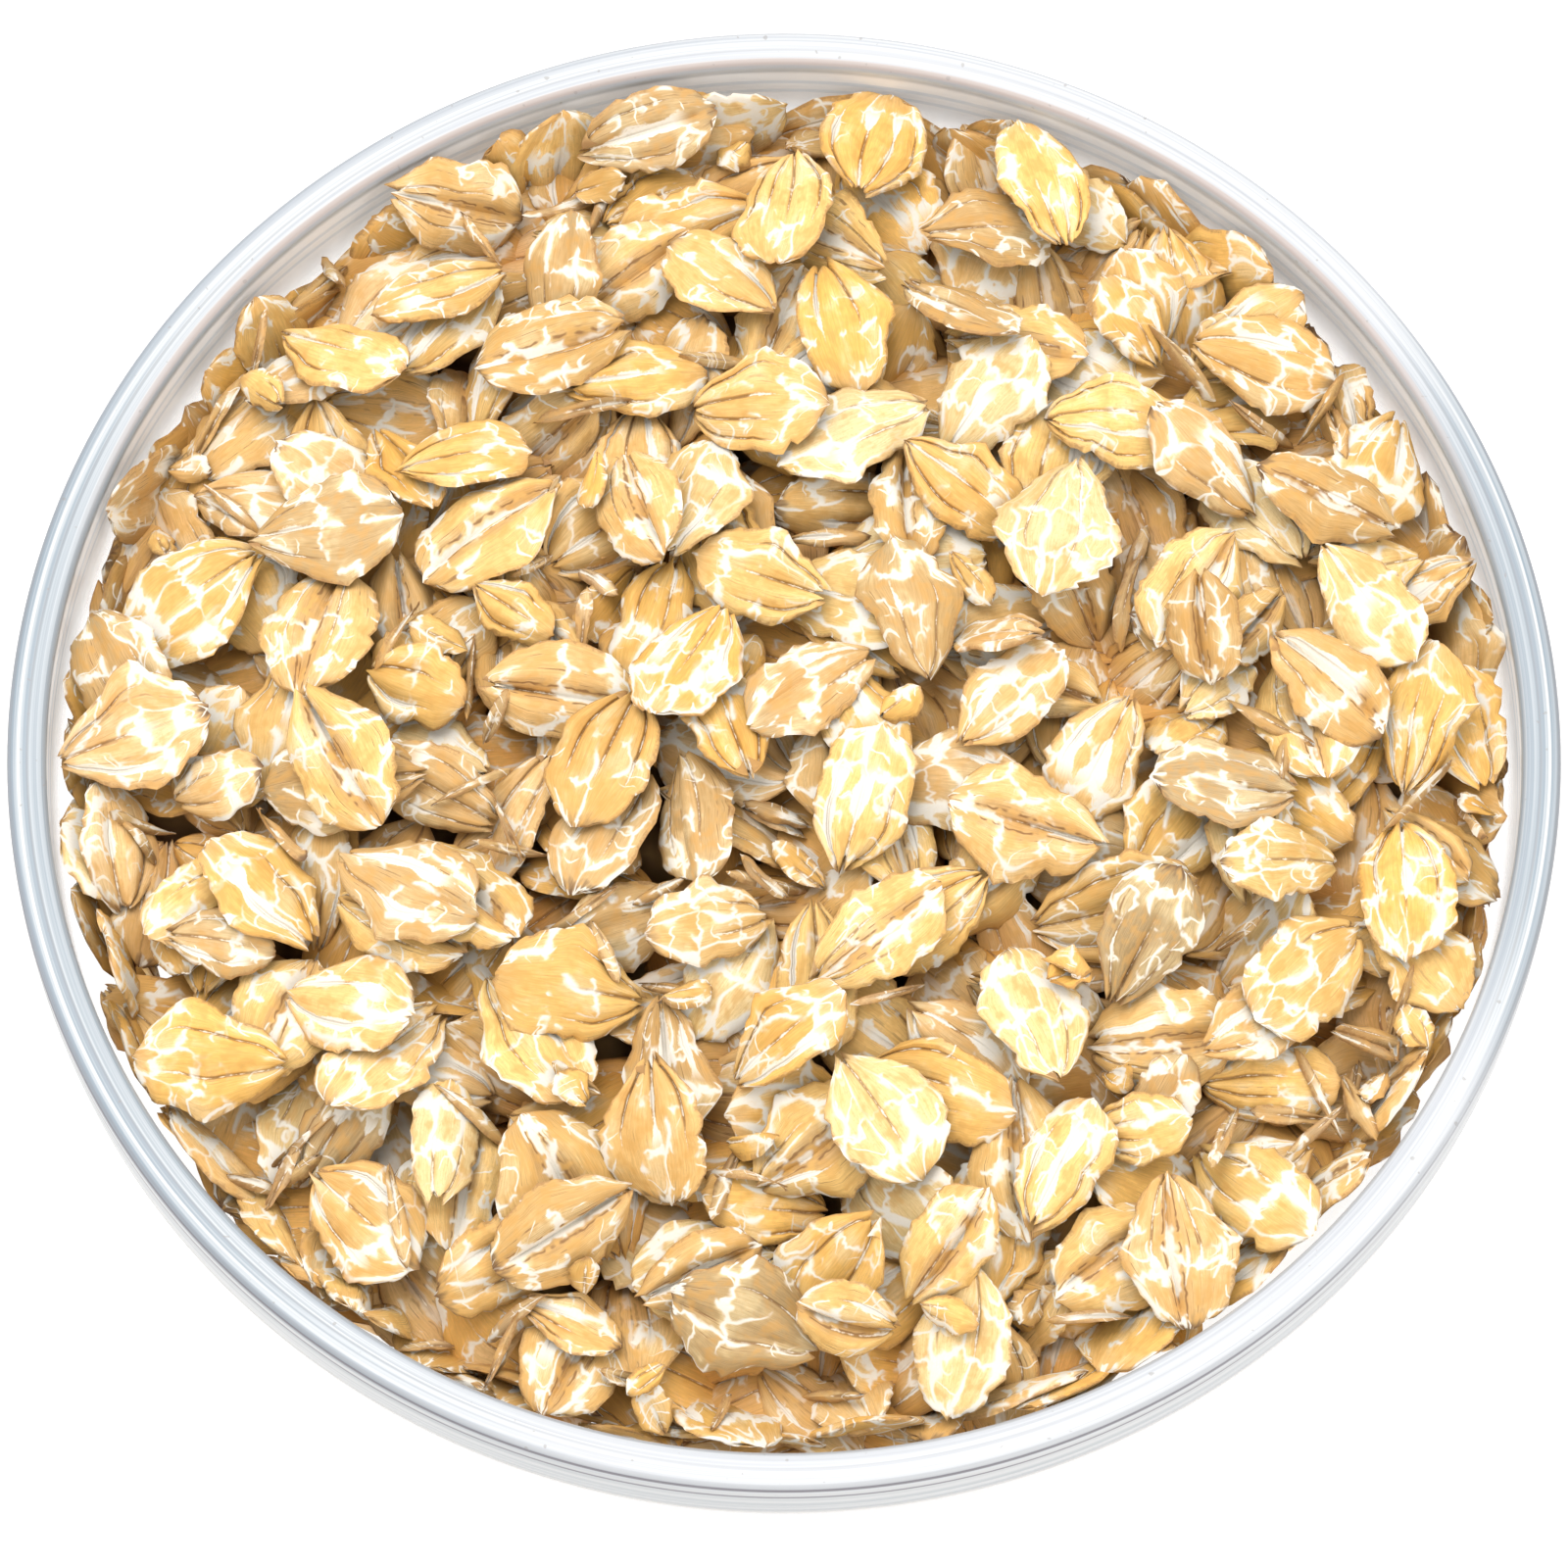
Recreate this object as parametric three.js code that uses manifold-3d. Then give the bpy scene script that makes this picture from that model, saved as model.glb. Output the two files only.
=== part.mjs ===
// A bowl of crushed barley: a round clear bowl, and a heap of flattened barley grains that fills it
// to just over the rim. Millimetres, +Z up, origin on the table under the middle of the bowl.
import * as THREE from "three";
import { mergeVertices } from "three/addons/utils/BufferGeometryUtils.js";
import Module from "manifold-3d";

// ---- Bowl ----
const RIM_RADIUS = 47.5; // outside, at the rim
const BOWL_HEIGHT = 36;
const RIM_WIDTH = 2.4;
const RIM_DEPTH = 1; // of the rounded edge on top of the side
const SIDE_REACH = 25; // the side is a quarter of an ellipse this wide, upright at the rim
const FOOT_HEIGHT = 1;
const FOOT_RADIUS = 25;
const FOOT_BEVEL = 0.4;
const FLOOR_THICKNESS = 2;
const FLOOR_HEIGHT = FOOT_HEIGHT + FLOOR_THICKNESS;
const SIDE_TOP = BOWL_HEIGHT - RIM_DEPTH;
const SIDE_MIDDLE = RIM_RADIUS - SIDE_REACH;
const BOWL_SIDES = 64;
const SIDE_STEPS = 8;
const RIM_STEPS = 4;

// ---- Heap ----
const CLEARANCE = 0.3; // air between the heap and the bowl
const HEAP_RADIUS = RIM_RADIUS - RIM_WIDTH - CLEARANCE;
const HEAP_EDGE = -3.6; // height of the heap's surface over the rim, at the wall ...
const HEAP_TOP = 3.2; // ... and in the middle
const DOME_POWER = 2.4; // how far the dome stays flat before it falls to the wall
const CORE_DEPTH = 1.5; // of the packed middle under the heap's surface
const BED_DEPTH = 6.4; // of the level that the first grains are dropped on
const CORE_SIDES = 42;
const CORE_WALL_STEPS = 7;
const CORE_TOP_STEPS = 6;
const CORE_DENT = 0.9; // how deep the core's surface is dented between the grains
const DENTED_FROM = 12; // the dents grow to full depth at this distance from the middle

// ---- Crushed grains ----
const GRAIN_LENGTH = 9.5; // of a large one
const GRAIN_WIDTH_SHARE = 0.67; // of its length
const GRAIN_THICKNESS = 1.6;
const SMALL_SHARE = 0.16; // of the grains are small
const KEEL_DEPTH = 0.6; // how far a grain's underside roots in the heap, at least ...
const KEEL_EXTRA = 0.9; // ... and past the core's surface
const RIDGE_SHARE = 0.35; // of half its length, to either side of its middle
const RIM_SHARES = [-1, -0.78, -0.25, 0.35, 0.8, 1]; // corners along half its length
const SAMPLE_STEP = 0.45;

// ---- Laying the grains ----
const SEED = 5;
const LEANING_COUNT = 104; // grains that lean on the bowl's wall
const ROW_STEP = 1.4; // they lean in two rows, this far apart
const DROPPED_COUNT = 420; // grains dropped on the heap
const SPOTS_TRIED = 12; // a grain takes the lowest of these
const STEEPEST_SLOPE = 0.75;
const SETTLING = 0.3; // grains press into each other by this much
const MAP_STEP = 0.4;
const AROUND_STEP = 1.4; // the heap's mean height is taken over four of these each way
const SEEN_AREA = 14; // square millimetres that must show for a grain to be made

const wasm = await Module();
wasm.setup();

// A closed geometry as a solid that can be joined.
function solidOf(geometry) {
  const bare = geometry.clone();
  bare.deleteAttribute("normal");
  bare.deleteAttribute("uv");
  const merged = mergeVertices(bare, 1e-4);
  return new wasm.Manifold(
    new wasm.Mesh({
      numProp: 3,
      vertProperties: new Float32Array(merged.attributes.position.array),
      triVerts: new Uint32Array(merged.index.array),
    }),
  );
}

function geometryOf(solid) {
  const mesh = solid.getMesh();
  const geometry = new THREE.BufferGeometry();
  geometry.setAttribute("position", new THREE.BufferAttribute(mesh.vertProperties, 3));
  geometry.setIndex(new THREE.BufferAttribute(mesh.triVerts, 1));
  geometry.computeVertexNormals();
  return geometry;
}

// Repeatable random numbers from 0 to 1.
function makeRandom(seed) {
  let state = seed;
  return () => {
    state = (state * 16807) % 2147483647;
    return state / 2147483647;
  };
}

// ---------------------------------------------------------------- bowl

// Part of an ellipse from angle 0, upright at the rim, to a quarter turn, level at the bottom, as
// (radius, height). inset is the distance inside the bowl's outer face at the rim.
function sidePoints(inset, bottom, from, to, steps) {
  return Array.from({ length: steps + 1 }, (_, step) => {
    const angle = THREE.MathUtils.lerp(from, to, step / steps);
    return new THREE.Vector2(
      SIDE_MIDDLE + (SIDE_REACH - inset) * Math.cos(angle),
      SIDE_TOP - (SIDE_TOP - bottom) * Math.sin(angle),
    );
  });
}

// The rounded rim from outside to inside.
function rimPoints() {
  return Array.from({ length: RIM_STEPS + 1 }, (_, step) => {
    const angle = (Math.PI * step) / RIM_STEPS;
    return new THREE.Vector2(
      RIM_RADIUS - (RIM_WIDTH / 2) * (1 - Math.cos(angle)),
      SIDE_TOP + RIM_DEPTH * Math.sin(angle),
    );
  });
}

// Radius of the bowl's inside at a height.
function insideRadius(height) {
  const depth = (SIDE_TOP - height) / (SIDE_TOP - FLOOR_HEIGHT);
  const share = THREE.MathUtils.clamp(depth, 0, 1);
  return SIDE_MIDDLE + (SIDE_REACH - RIM_WIDTH) * Math.sqrt(1 - share * share);
}

function bowlGeometry() {
  const footAngle = Math.acos((FOOT_RADIUS - SIDE_MIDDLE) / SIDE_REACH);
  const outside = sidePoints(0, FOOT_HEIGHT, footAngle, 0, SIDE_STEPS);
  const inside = sidePoints(RIM_WIDTH, FLOOR_HEIGHT, 0, Math.PI / 2, SIDE_STEPS);
  const profile = [
    new THREE.Vector2(0, 0),
    new THREE.Vector2(FOOT_RADIUS - FOOT_BEVEL, 0),
    new THREE.Vector2(FOOT_RADIUS, FOOT_BEVEL),
    ...outside.slice(0, -1),
    ...rimPoints(),
    ...inside.slice(1),
    new THREE.Vector2(0, FLOOR_HEIGHT),
  ];
  return new THREE.LatheGeometry(profile, BOWL_SIDES).rotateX(Math.PI / 2);
}

// ---------------------------------------------------------------- heap

// Height of the heap's surface over the table at a distance from the middle.
function heapHeight(radius) {
  const share = Math.min(radius / HEAP_RADIUS, 1);
  return BOWL_HEIGHT + HEAP_TOP - (HEAP_TOP - HEAP_EDGE) * share ** DOME_POWER;
}

// The packed middle of the heap, dented all over as loosely packed grains are.
function coreGeometry(map, random) {
  const edge = BOWL_HEIGHT + HEAP_EDGE - CORE_DEPTH;
  const floor = FLOOR_HEIGHT + CLEARANCE;
  const edgeAngle = Math.asin((SIDE_TOP - edge) / (SIDE_TOP - floor));
  const wall = sidePoints(
    RIM_WIDTH + CLEARANCE, floor, Math.PI / 2, edgeAngle, CORE_WALL_STEPS);
  const top = Array.from({ length: CORE_TOP_STEPS }, (_, step) => {
    const radius = wall.at(-1).x * (1 - (step + 1) / CORE_TOP_STEPS);
    return new THREE.Vector2(radius, heapHeight(radius) - CORE_DEPTH);
  });
  const profile = [new THREE.Vector2(0, floor), ...wall, ...top];
  const turned = new THREE.LatheGeometry(profile, CORE_SIDES).rotateX(Math.PI / 2);
  turned.deleteAttribute("normal");
  turned.deleteAttribute("uv");
  const geometry = mergeVertices(turned, 1e-4);
  const centre = new THREE.Vector3(0, 0, SIDE_TOP);
  const place = new THREE.Vector3();
  const positions = geometry.attributes.position;
  for (let index = 0; index < positions.count; index++) {
    place.fromBufferAttribute(positions, index);
    const dent = CORE_DENT * random() * Math.min(Math.hypot(place.x, place.y) / DENTED_FROM, 1);
    if (place.z > edge + 0.01) place.z = map.around(place.x, place.y) - CORE_DEPTH - dent;
    else if (Math.hypot(place.x, place.y) > SIDE_MIDDLE) place.lerp(centre, dent / SIDE_TOP);
    positions.setXYZ(index, place.x, place.y, place.z);
  }
  return geometry;
}

// ---------------------------------------------------------------- one crushed grain

function makeGrain(random) {
  const small = random() < SMALL_SHARE;
  const size = 0.86 + 0.14 * (random() + random()) - (small ? 0.28 : 0);
  const grain = {
    length: GRAIN_LENGTH * size,
    width: GRAIN_LENGTH * GRAIN_WIDTH_SHARE * size * (0.85 + 0.3 * random()),
    thickness: GRAIN_THICKNESS * (0.75 + 0.5 * random()),
    bend: 0.3 - 1.1 * random(),
    keel: KEEL_DEPTH,
  };
  grain.samples = grainSamples(grain);
  return grain;
}

// Half width of a grain at a share from -1, its blunt end, to 1, its point, of its half length.
function halfWidth(grain, share) {
  const round = Math.sqrt(Math.max(1 - share * share, 0));
  return (grain.width / 2) * round ** (1 + 0.35 * (1 + share)) * (1 - 0.12 * share);
}

// How far a grain's middle plane is bent up at a share of its half length.
function bendAt(grain, share) {
  return grain.bend * (share * share - 0.3);
}

// The corners round a grain's edge, as [x, y, z].
function grainRim(grain) {
  const corner = (share, way) => [
    (share * grain.length) / 2,
    way * halfWidth(grain, share),
    bendAt(grain, share),
  ];
  return [
    ...RIM_SHARES.map((share) => corner(share, 1)),
    ...RIM_SHARES.slice(1, -1).reverse().map((share) => corner(share, -1)),
  ];
}

// Points spread over a grain, as [x, y, top, underside].
function grainSamples(grain) {
  const points = [];
  for (let x = (SAMPLE_STEP - grain.length) / 2; x < grain.length / 2; x += SAMPLE_STEP)
    for (let y = (SAMPLE_STEP - grain.width) / 2; y < grain.width / 2; y += SAMPLE_STEP) {
      const share = x / (grain.length / 2);
      const side = halfWidth(grain, share);
      if (side <= Math.abs(y)) continue;
      const crown = Math.sqrt((1 - (y / side) ** 2) * (1 - share * share));
      const half = (grain.thickness / 2) * (0.35 + 0.65 * crown);
      const middle = bendAt(grain, share);
      points.push([x, y, middle + half, middle - half]);
    }
  return points;
}

// A thin lens with a ridge along its back and a keel under it.
function grainGeometry(grain) {
  const rim = grainRim(grain);
  const crown = grain.thickness / 2;
  const ridge = (RIDGE_SHARE * grain.length) / 2;
  const corners = [...rim, [-ridge, 0, crown], [ridge, 0, crown], [0, 0, -crown - grain.keel]];
  const [blunt, sharp, keel] = [rim.length, rim.length + 1, rim.length + 2];
  const ridgeEnd = (index) => (rim[index][0] < 0 ? blunt : sharp);
  const faces = [];
  rim.forEach((_, index) => {
    const next = (index + 1) % rim.length;
    faces.push([index, next, keel], [next, index, ridgeEnd(index)]);
    if (ridgeEnd(index) !== ridgeEnd(next)) faces.push([next, ridgeEnd(index), ridgeEnd(next)]);
  });
  const geometry = new THREE.BufferGeometry();
  geometry.setAttribute("position", new THREE.Float32BufferAttribute(corners.flat(), 3));
  geometry.setIndex(faces.flat());
  return geometry;
}

// ---------------------------------------------------------------- laying the grains

// A square map of the heap's height, and of the grain that is uppermost in each cell.
class HeightMap {
  constructor(reach, step, heightAt) {
    this.reach = reach;
    this.step = step;
    this.side = Math.ceil((2 * reach) / step);
    this.heights = new Float64Array(this.side ** 2);
    this.owners = new Int32Array(this.side ** 2).fill(-1);
    for (let cell = 0; cell < this.heights.length; cell++) {
      const x = ((cell % this.side) + 0.5) * step - reach;
      const y = (Math.floor(cell / this.side) + 0.5) * step - reach;
      this.heights[cell] = heightAt(Math.hypot(x, y));
    }
  }

  index(value) {
    const cell = Math.floor((value + this.reach) / this.step);
    return THREE.MathUtils.clamp(cell, 0, this.side - 1);
  }

  cell(x, y) {
    return this.index(y) * this.side + this.index(x);
  }

  // Mean height round (x, y).
  around(x, y) {
    const offsets = [-2, -1, 0, 1, 2].map((share) => share * AROUND_STEP);
    const heights = offsets.flatMap((dx) =>
      offsets.map((dy) => this.heights[this.cell(x + dx, y + dy)]));
    return heights.reduce((sum, height) => sum + height) / heights.length;
  }

  // Raises the map to the top of a grain.
  stamp(grain, owner) {
    const place = new THREE.Vector3();
    for (const [x, y, top] of grain.samples) {
      place.set(x, y, top).applyMatrix4(grain.matrix);
      const cell = this.cell(place.x, place.y);
      if (place.z <= this.heights[cell]) continue;
      this.heights[cell] = place.z;
      this.owners[cell] = owner;
    }
  }
}

// The slope on which a plate over the points [x, y, height] comes to rest: the one that lets its
// middle sink lowest. Each turn tips the plate a little away from the point it touches.
function restingSlope(points) {
  const slope = new THREE.Vector2();
  const rest = new THREE.Vector2();
  let lowest = Infinity;
  for (let turn = 1; turn <= 120; turn++) {
    let highest = -Infinity;
    let contact = points[0];
    for (const point of points) {
      const height = point[2] - slope.x * point[0] - slope.y * point[1];
      if (height <= highest) continue;
      highest = height;
      contact = point;
    }
    if (highest < lowest) {
      lowest = highest;
      rest.copy(slope);
    }
    const pace = 0.3 / turn / Math.max(Math.hypot(contact[0], contact[1]), 1);
    slope.x += pace * contact[0];
    slope.y += pace * contact[1];
  }
  return rest;
}

// The matrix of a grain that comes to rest on the map at (x, y).
function restingPose(map, grain, x, y, turn, tilt) {
  const [cos, sin] = [Math.cos(turn), Math.sin(turn)];
  const below = grain.samples.map(([u, v, top, under]) => {
    const [dx, dy] = [cos * u - sin * v, sin * u + cos * v];
    return [dx, dy, map.heights[map.cell(x + dx, y + dy)] - under];
  });
  const slope = restingSlope(below).clampLength(0, STEEPEST_SLOPE);
  const normal = new THREE.Vector3(tilt.x - slope.x, tilt.y - slope.y, 1).normalize();
  const up = new THREE.Vector3(0, 0, 1);
  const lean = new THREE.Quaternion().setFromUnitVectors(up, normal);
  const spin = new THREE.Quaternion().setFromAxisAngle(up, turn);
  const pose = new THREE.Matrix4().makeRotationFromQuaternion(lean.multiply(spin));
  const place = new THREE.Vector3();
  let height = -Infinity;
  for (const [u, v, top, under] of grain.samples) {
    place.set(u, v, under).applyMatrix4(pose);
    const ground = map.heights[map.cell(x + place.x, y + place.y)];
    height = Math.max(height, ground - place.z);
  }
  return pose.setPosition(x, y, height - SETTLING);
}

// The matrix of a grain that leans on the wall: its face looks inwards and up by the angle lean.
function leaningPose(radius, angle, height, turn, lean) {
  const along = new THREE.Vector3(-Math.sin(angle), Math.cos(angle), 0);
  const face = new THREE.Vector3(
    -Math.cos(angle) * Math.cos(lean),
    -Math.sin(angle) * Math.cos(lean),
    Math.sin(lean),
  );
  const pose = new THREE.Matrix4().makeBasis(along, face.clone().cross(along), face);
  pose.multiply(new THREE.Matrix4().makeRotationZ(turn));
  return pose.setPosition(radius * Math.cos(angle), radius * Math.sin(angle), height);
}

// How far a grain in this pose reaches into the bowl.
function reachIntoBowl(grain, pose) {
  const place = new THREE.Vector3();
  const underside = grain.samples.map(([x, y, top, under]) => [x, y, under]);
  let reach = -Infinity;
  for (const point of [...grainRim(grain), ...underside]) {
    place.set(...point).applyMatrix4(pose);
    const overRim = place.z > BOWL_HEIGHT + CLEARANCE;
    const room = overRim ? RIM_RADIUS : insideRadius(place.z) - CLEARANCE;
    reach = Math.max(reach, Math.hypot(place.x, place.y) - room);
  }
  return reach;
}

// The pose that poseAt(radius) gives once the grain is far enough in to clear the bowl, or null.
function clearPose(grain, radius, poseAt) {
  for (let push = 0; push < 4; push++) {
    const pose = poseAt(radius);
    const reach = reachIntoBowl(grain, pose);
    if (reach <= 0) return pose;
    radius -= reach + 0.05;
  }
  return null;
}

// Grains that lean on the wall all round, under the heap's edge.
function layLeaning(map, random) {
  const grains = [];
  for (let index = 0; index < LEANING_COUNT; index++) {
    const grain = { ...makeGrain(random), keel: 0, leaning: true };
    const angle = (2 * Math.PI * (index + 0.9 * random())) / LEANING_COUNT;
    const height = BOWL_HEIGHT + HEAP_EDGE - 5.6 + 5.4 * random();
    const turn = Math.PI * random();
    const lean = 0.15 + 0.75 * random();
    const start = HEAP_RADIUS - 1 - ROW_STEP * (index % 2);
    grain.matrix = clearPose(grain, start, (radius) =>
      leaningPose(radius, angle, height, turn, lean));
    if (grain.matrix) grains.push(grain);
  }
  grains.forEach((grain, index) => map.stamp(grain, index));
  return grains;
}

// Grains dropped one by one, each where the heap is lowest of the spots that it tries.
function layDropped(map, grains, random) {
  for (let index = 0; index < DROPPED_COUNT; index++) {
    const grain = makeGrain(random);
    const lean = 0.5 * random() * random();
    const toward = 2 * Math.PI * random();
    const tilt = new THREE.Vector2(lean * Math.cos(toward), lean * Math.sin(toward));
    let lowest = Infinity;
    for (let spot = 0; spot < SPOTS_TRIED; spot++) {
      const start = (HEAP_RADIUS - 1.5) * Math.sqrt(random());
      const angle = 2 * Math.PI * random();
      const turn = 2 * Math.PI * random();
      const pose = clearPose(grain, start, (radius) =>
        restingPose(map, grain, radius * Math.cos(angle), radius * Math.sin(angle), turn, tilt));
      if (!pose) continue;
      const place = new THREE.Vector3().setFromMatrixPosition(pose);
      const over = place.z - heapHeight(Math.hypot(place.x, place.y));
      if (over >= lowest) continue;
      lowest = over;
      grain.matrix = pose;
    }
    if (!grain.matrix) continue;
    map.stamp(grain, grains.length);
    grains.push(grain);
  }
}

// The heap's map, and the grains that show on it, each with its matrix.
function layHeap(random) {
  const bed = (radius) =>
    radius > HEAP_RADIUS + MAP_STEP ? BOWL_HEIGHT : heapHeight(radius) - BED_DEPTH;
  const map = new HeightMap(RIM_RADIUS + 2, MAP_STEP, bed);
  const grains = layLeaning(map, random);
  layDropped(map, grains, random);
  const cells = new Array(grains.length).fill(0);
  for (const owner of map.owners) if (owner >= 0) cells[owner] += 1;
  const shown = grains.filter((_, index) => cells[index] * MAP_STEP ** 2 > SEEN_AREA);
  return [map, shown];
}

// Makes a grain's keel deep enough to reach the core.
function rootInCore(map, grain) {
  if (grain.leaning) return;
  const place = new THREE.Vector3().setFromMatrixPosition(grain.matrix);
  const overCore = place.z - map.around(place.x, place.y) + CORE_DEPTH + CORE_DENT;
  grain.keel = Math.max(overCore - grain.thickness / 2 + KEEL_EXTRA, KEEL_DEPTH);
}

// The core and the grains that show, joined. What the joining leaves loose or sealed in is dropped.
function heapGeometry() {
  const random = makeRandom(SEED);
  const [map, grains] = layHeap(random);
  grains.forEach((grain) => rootInCore(map, grain));
  const solids = grains.map((grain) =>
    solidOf(grainGeometry(grain).applyMatrix4(grain.matrix)));
  const joined = wasm.Manifold.union([solidOf(coreGeometry(map, random)), ...solids]);
  const bodies = joined.decompose().sort((a, b) => b.volume() - a.volume());
  return geometryOf(bodies[0]);
}

// ---------------------------------------------------------------- the part

function makeMesh(name, geometry, look) {
  const mesh = new THREE.Mesh(geometry, new THREE.MeshStandardMaterial(look));
  mesh.name = name;
  return mesh;
}

const part = new THREE.Group();
part.add(
  makeMesh("bowl", bowlGeometry(), {
    color: 0xe9eef1, roughness: 0.08, metalness: 0, transparent: true, opacity: 0.35,
  }),
  makeMesh("barley_heap", heapGeometry(), { color: 0xd2ab76, roughness: 0.75, metalness: 0 }),
);

export default part;
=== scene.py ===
# %% [markdown]
# # A bowl of crushed barley
#
# A round bowl of clear plastic, filled to just over its rim with barley grains that were pressed
# flat between rollers. The heap is what one looks at: more than four hundred grains, no two
# alike, that lie on each other as they fell. So this lesson is mostly about three things: how a
# flattened grain is shaped, how grains come to rest on a heap, and how a husk cracks and lets the
# white starch show. Everything is worked out in millimetres and put into the scene in metres.

import math

import bpy
import numpy as np
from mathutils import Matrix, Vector


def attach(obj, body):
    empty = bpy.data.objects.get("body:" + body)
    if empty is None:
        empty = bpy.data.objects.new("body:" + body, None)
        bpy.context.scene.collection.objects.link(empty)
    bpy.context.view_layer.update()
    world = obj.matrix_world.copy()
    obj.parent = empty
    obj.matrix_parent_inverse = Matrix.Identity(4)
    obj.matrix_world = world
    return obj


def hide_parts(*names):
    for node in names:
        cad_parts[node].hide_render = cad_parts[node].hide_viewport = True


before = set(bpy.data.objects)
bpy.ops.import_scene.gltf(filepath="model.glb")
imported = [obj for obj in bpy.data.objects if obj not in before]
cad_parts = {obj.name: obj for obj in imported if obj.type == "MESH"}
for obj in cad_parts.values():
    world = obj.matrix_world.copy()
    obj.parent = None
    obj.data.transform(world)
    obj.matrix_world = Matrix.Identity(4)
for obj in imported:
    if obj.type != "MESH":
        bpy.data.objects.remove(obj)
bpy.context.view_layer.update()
MM = 0.001
print("solids:", sorted(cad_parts))

# %% [markdown]
# ## The camera
#
# The bowl is photographed steeply from above, from so far away that its rim is almost a true
# ellipse: it is 1585 pixels wide and 1487 high in a square picture. An ellipse's height over its
# width gives the angle of view, and its width gives the length of the lens. The rim's near half is
# a little deeper than its far half, which gives the distance.

# %% Camera
CAMERA_DISTANCE = 800.0
CAMERA_ELEVATION = math.radians(69.86)
LENS = 300.5
AIM = (0.0, -2.16, 35.0)

back = Vector((0, -math.cos(CAMERA_ELEVATION), math.sin(CAMERA_ELEVATION)))
camera = bpy.data.objects.new("camera", bpy.data.cameras.new("camera"))
bpy.context.scene.collection.objects.link(camera)
camera.data.sensor_width = 36
camera.data.lens = LENS
camera.data.clip_start, camera.data.clip_end = 0.05, 20
camera.location = (Vector(AIM) + back * CAMERA_DISTANCE) * MM
camera.rotation_mode = "QUATERNION"
camera.rotation_quaternion = (-back).to_track_quat("-Z", "Y")
bpy.context.scene.camera = camera
print("camera at, mm:", [round(c / MM) for c in camera.location])

# %% [markdown]
# ## Two helpers for meshes
#
# Each shape below is a grid of points that numpy works out in one go. The first helper turns such
# points and faces into an object that stands where the solids of the frame stand. A finish may
# need to know more about a point than where it is, such as how far it is from the grain's edge, so
# the helper also stores named values for each point, which a material can read.

# %% Mesh helpers
def make_piece(name, points, faces, values=None, slot="barley"):
    """An object from points in millimetres and faces, with named vectors for each point. The
    volume of a closed mesh is the sum of a.(b x c)/6 over its triangles a, b, c; where it comes
    out negative the faces look inwards, and are turned round."""
    a, b, c = (points[faces[:, corner]] for corner in (0, 1, 2))
    volume = np.einsum("ij,ij->", a, np.cross(b, c)) / 6
    if faces.shape[1] == 4:
        d = points[faces[:, 3]]
        volume += np.einsum("ij,ij->", a, np.cross(c, d)) / 6
    if volume < 0:
        faces = faces[:, ::-1]
    mesh = bpy.data.meshes.new(name)
    mesh.vertices.add(len(points))
    mesh.vertices.foreach_set("co", (points * MM).astype(np.float32).ravel())
    mesh.loops.add(faces.size)
    mesh.loops.foreach_set("vertex_index", faces.ravel().astype(np.int32))
    mesh.polygons.add(len(faces))
    starts = np.arange(len(faces), dtype=np.int32) * faces.shape[1]
    mesh.polygons.foreach_set("loop_start", starts)
    mesh.update(calc_edges=True)
    mesh.validate()
    mesh.shade_smooth()
    for key, vectors in (values or {}).items():
        stored = mesh.attributes.new(key, "FLOAT_VECTOR", "POINT")
        stored.data.foreach_set("vector", vectors.astype(np.float32).ravel())
    piece = bpy.data.objects.new(name, mesh)
    bpy.context.scene.collection.objects.link(piece)
    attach(piece, "root")
    triangles = len(faces) * (faces.shape[1] - 2)
    print(f"{name}: {triangles} triangles, {abs(volume) / 1000:.1f} cm3")
    return piece


def turned(profile, sides):
    """A surface of revolution: each (radius, height) of the profile goes round the Z axis. A
    profile that starts and ends on the axis gives a closed surface, whose faces there are
    four-cornered with two corners in the same place, so they are made three-cornered below."""
    angle = np.arange(sides) * 2 * np.pi / sides
    ring = profile[1:-1]
    points = np.empty((len(ring), sides, 3))
    points[..., 0] = ring[:, :1] * np.cos(angle)
    points[..., 1] = ring[:, :1] * np.sin(angle)
    points[..., 2] = ring[:, 1:]
    poles = np.array([[0, 0, profile[0, 1]], [0, 0, profile[-1, 1]]])
    index = np.arange(len(ring) * sides).reshape(len(ring), sides)
    after = np.roll(index, -1, axis=1)
    low = np.stack([index[:-1], after[:-1], after[1:]], -1).reshape(-1, 3)
    high = np.stack([index[:-1], after[1:], index[1:]], -1).reshape(-1, 3)
    first, last = len(ring) * sides, len(ring) * sides + 1
    start = np.stack([np.full(sides, first), after[0], index[0]], -1)
    end = np.stack([np.full(sides, last), index[-1], after[-1]], -1)
    return np.concatenate([points.reshape(-1, 3), poles]), np.concatenate([low, high, start, end])


# %% [markdown]
# ## The bowl
#
# The bowl is moulded from clear, colourless plastic. Its side stands upright at the rim and turns
# under in a quarter of an ellipse to a low flat foot. The rim is as wide as the wall is thick, flat
# on top with two small rounded edges, and the thin lines that those edges show are painted into
# the plastic's finish below as painted reflections. A turned profile is the natural way to make
# it: one outline, carried once round the axis. The same measures as in the solid are used, so that
# it stands exactly where the solid does.

# %% Bowl
RIM_RADIUS = 47.5
BOWL_HEIGHT = 36.0
RIM_WIDTH = 2.4
RIM_DEPTH = 1.0
SIDE_REACH = 25.0
FOOT_HEIGHT = 1.0
FOOT_RADIUS = 25.0
FOOT_BEVEL = 0.4
FLOOR_HEIGHT = FOOT_HEIGHT + 2.0
SIDE_TOP = BOWL_HEIGHT - RIM_DEPTH
SIDE_MIDDLE = RIM_RADIUS - SIDE_REACH
EDGE_ROUND = 0.5
BOWL_SIDES = 288


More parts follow.
